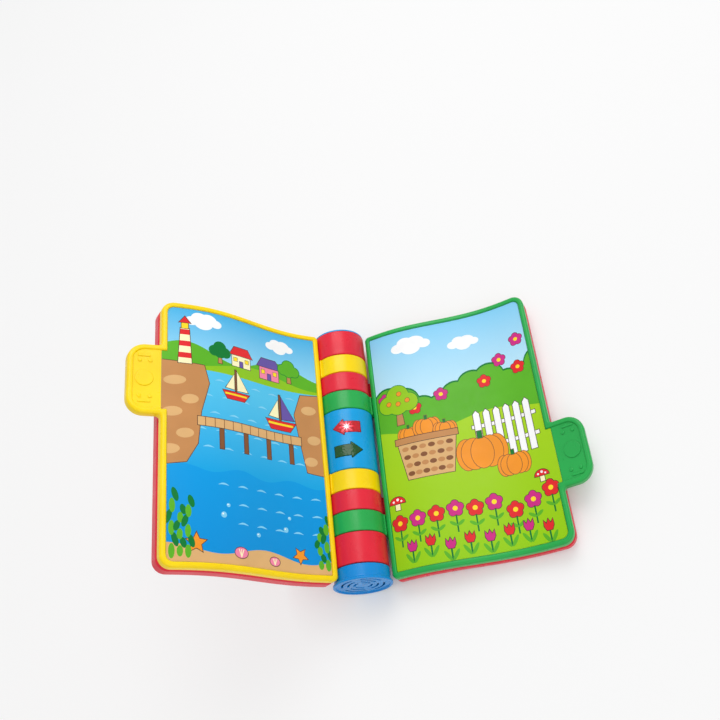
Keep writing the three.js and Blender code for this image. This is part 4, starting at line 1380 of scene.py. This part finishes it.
def studio():
    world = bpy.data.worlds.new("studio")
    scene.world = world
    world.use_nodes = True
    tree = world.node_tree
    background = tree.nodes["Background"]
    background.inputs["Color"].default_value = (1, 1, 1, 1)
    strength = added(tree, "ShaderNodeMapRange", To_Min=WORLD_LIGHT, To_Max=WHITE_SEEN)
    wire(tree, (seen_directly(tree), strength, "Value"), (strength.outputs["Result"], background, "Strength"))
    floor = linked(block((-3000, 3000), (-3000, 3000), (-6, -0.4)), "floor")
    moved(floor.data, Matrix.Scale(MM, 4))
    paper = Finish("floor_paper")
    dark, light = shades(tint(249, 249, 249), 0.004)
    paper.colour(paper.ramp(paper.noise(3), [(0.3, dark), (0.7, light)]))
    paper.set(Roughness=0.9, Specular_IOR_Level=0.1)
    glow = added(paper.tree, "ShaderNodeEmission", Color=tint(249, 249, 249))
    blend = added(paper.tree, "ShaderNodeMixShader")
    # Painted shade: the floor's glow is cut by ambient occlusion, so the floor comes out darker under the
    # book and in the gaps beside it.
    painted_shade_occlusion = added(paper.tree, "ShaderNodeAmbientOcclusion", Distance=0.06)
    glow_less_painted_shade = paper.math("MULTIPLY", paper.math("POWER", painted_shade_occlusion.outputs["AO"], 1.5), FLOOR_GLOW)
    share = paper.math("MULTIPLY", seen_directly(paper.tree), glow_less_painted_shade)
    wire(
        paper.tree, (share, blend, "Fac"), (paper.shader.outputs["BSDF"], blend, 1),
        (glow.outputs["Emission"], blend, 2),
        (blend.outputs["Shader"], paper.tree.nodes["Material Output"], "Surface"))
    floor.data.materials.append(paper.material)
    area_light("soft_key", (0.30, 0.75, 1.15), 0.9, KEY_LIGHT)
    area_light("fill", (0.45, -0.9, 0.9), 1.2, FILL_LIGHT)


scene.view_settings.view_transform = "Standard"
camera()
studio()

page_moulding(yellow_page, "low")
page_moulding(green_page, "high")
cover_pieces(front_cover, "low")
cover_pieces(back_cover, "high")
for leaf in (yellow_page, green_page, front_cover, back_cover):
    hinge_rings(leaf)
for name, leaf, face, drawing in (
    ("yellow_page_card_front_print", yellow_page, "low", harbour),
    ("green_page_card_front_print", green_page, "high", orchard),
    ("yellow_page_card_back_print", yellow_page, "high", seaside),
    ("green_page_card_back_print", green_page, "low", hillside),
    ("front_cover_card_print", front_cover, "low", hillside),
    ("back_cover_card_print", back_cover, "high", seaside),
):
    printed_card(name, leaf, face, drawing)

centre_housing()
arrow_lens("red_arrow_lens", RED_ARROW_Y, -1, red_lens, "red_lens")
arrow_lens("green_arrow_lens", GREEN_ARROW_Y, 1, green_lens, "green_lens")
battery_door()
speaker_cap()
far_cap()
ribbed_knob()
cross_head_screws()

carried = {
    "spine_tube": blue_plastic, "power_switch_body": black_plastic, "page_sensor_strip": board_mask,
    "cell_left": sleeve, "cell_right": sleeve, "cell_cradle": black_plastic, "spring_plate": steel,
    "contact_plate": steel, "circuit_board": board_mask, "red_light": red_lens, "green_light": green_lens,
    "speaker": paper_cone, "front_cover_magnet": steel, "yellow_page_magnet": steel,
    "green_page_magnet": steel,
}
for node, material in carried.items():
    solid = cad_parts[node]
    if solid.material_slots:
        solid.material_slots[0].material = material
    else:
        solid.data.materials.append(material)
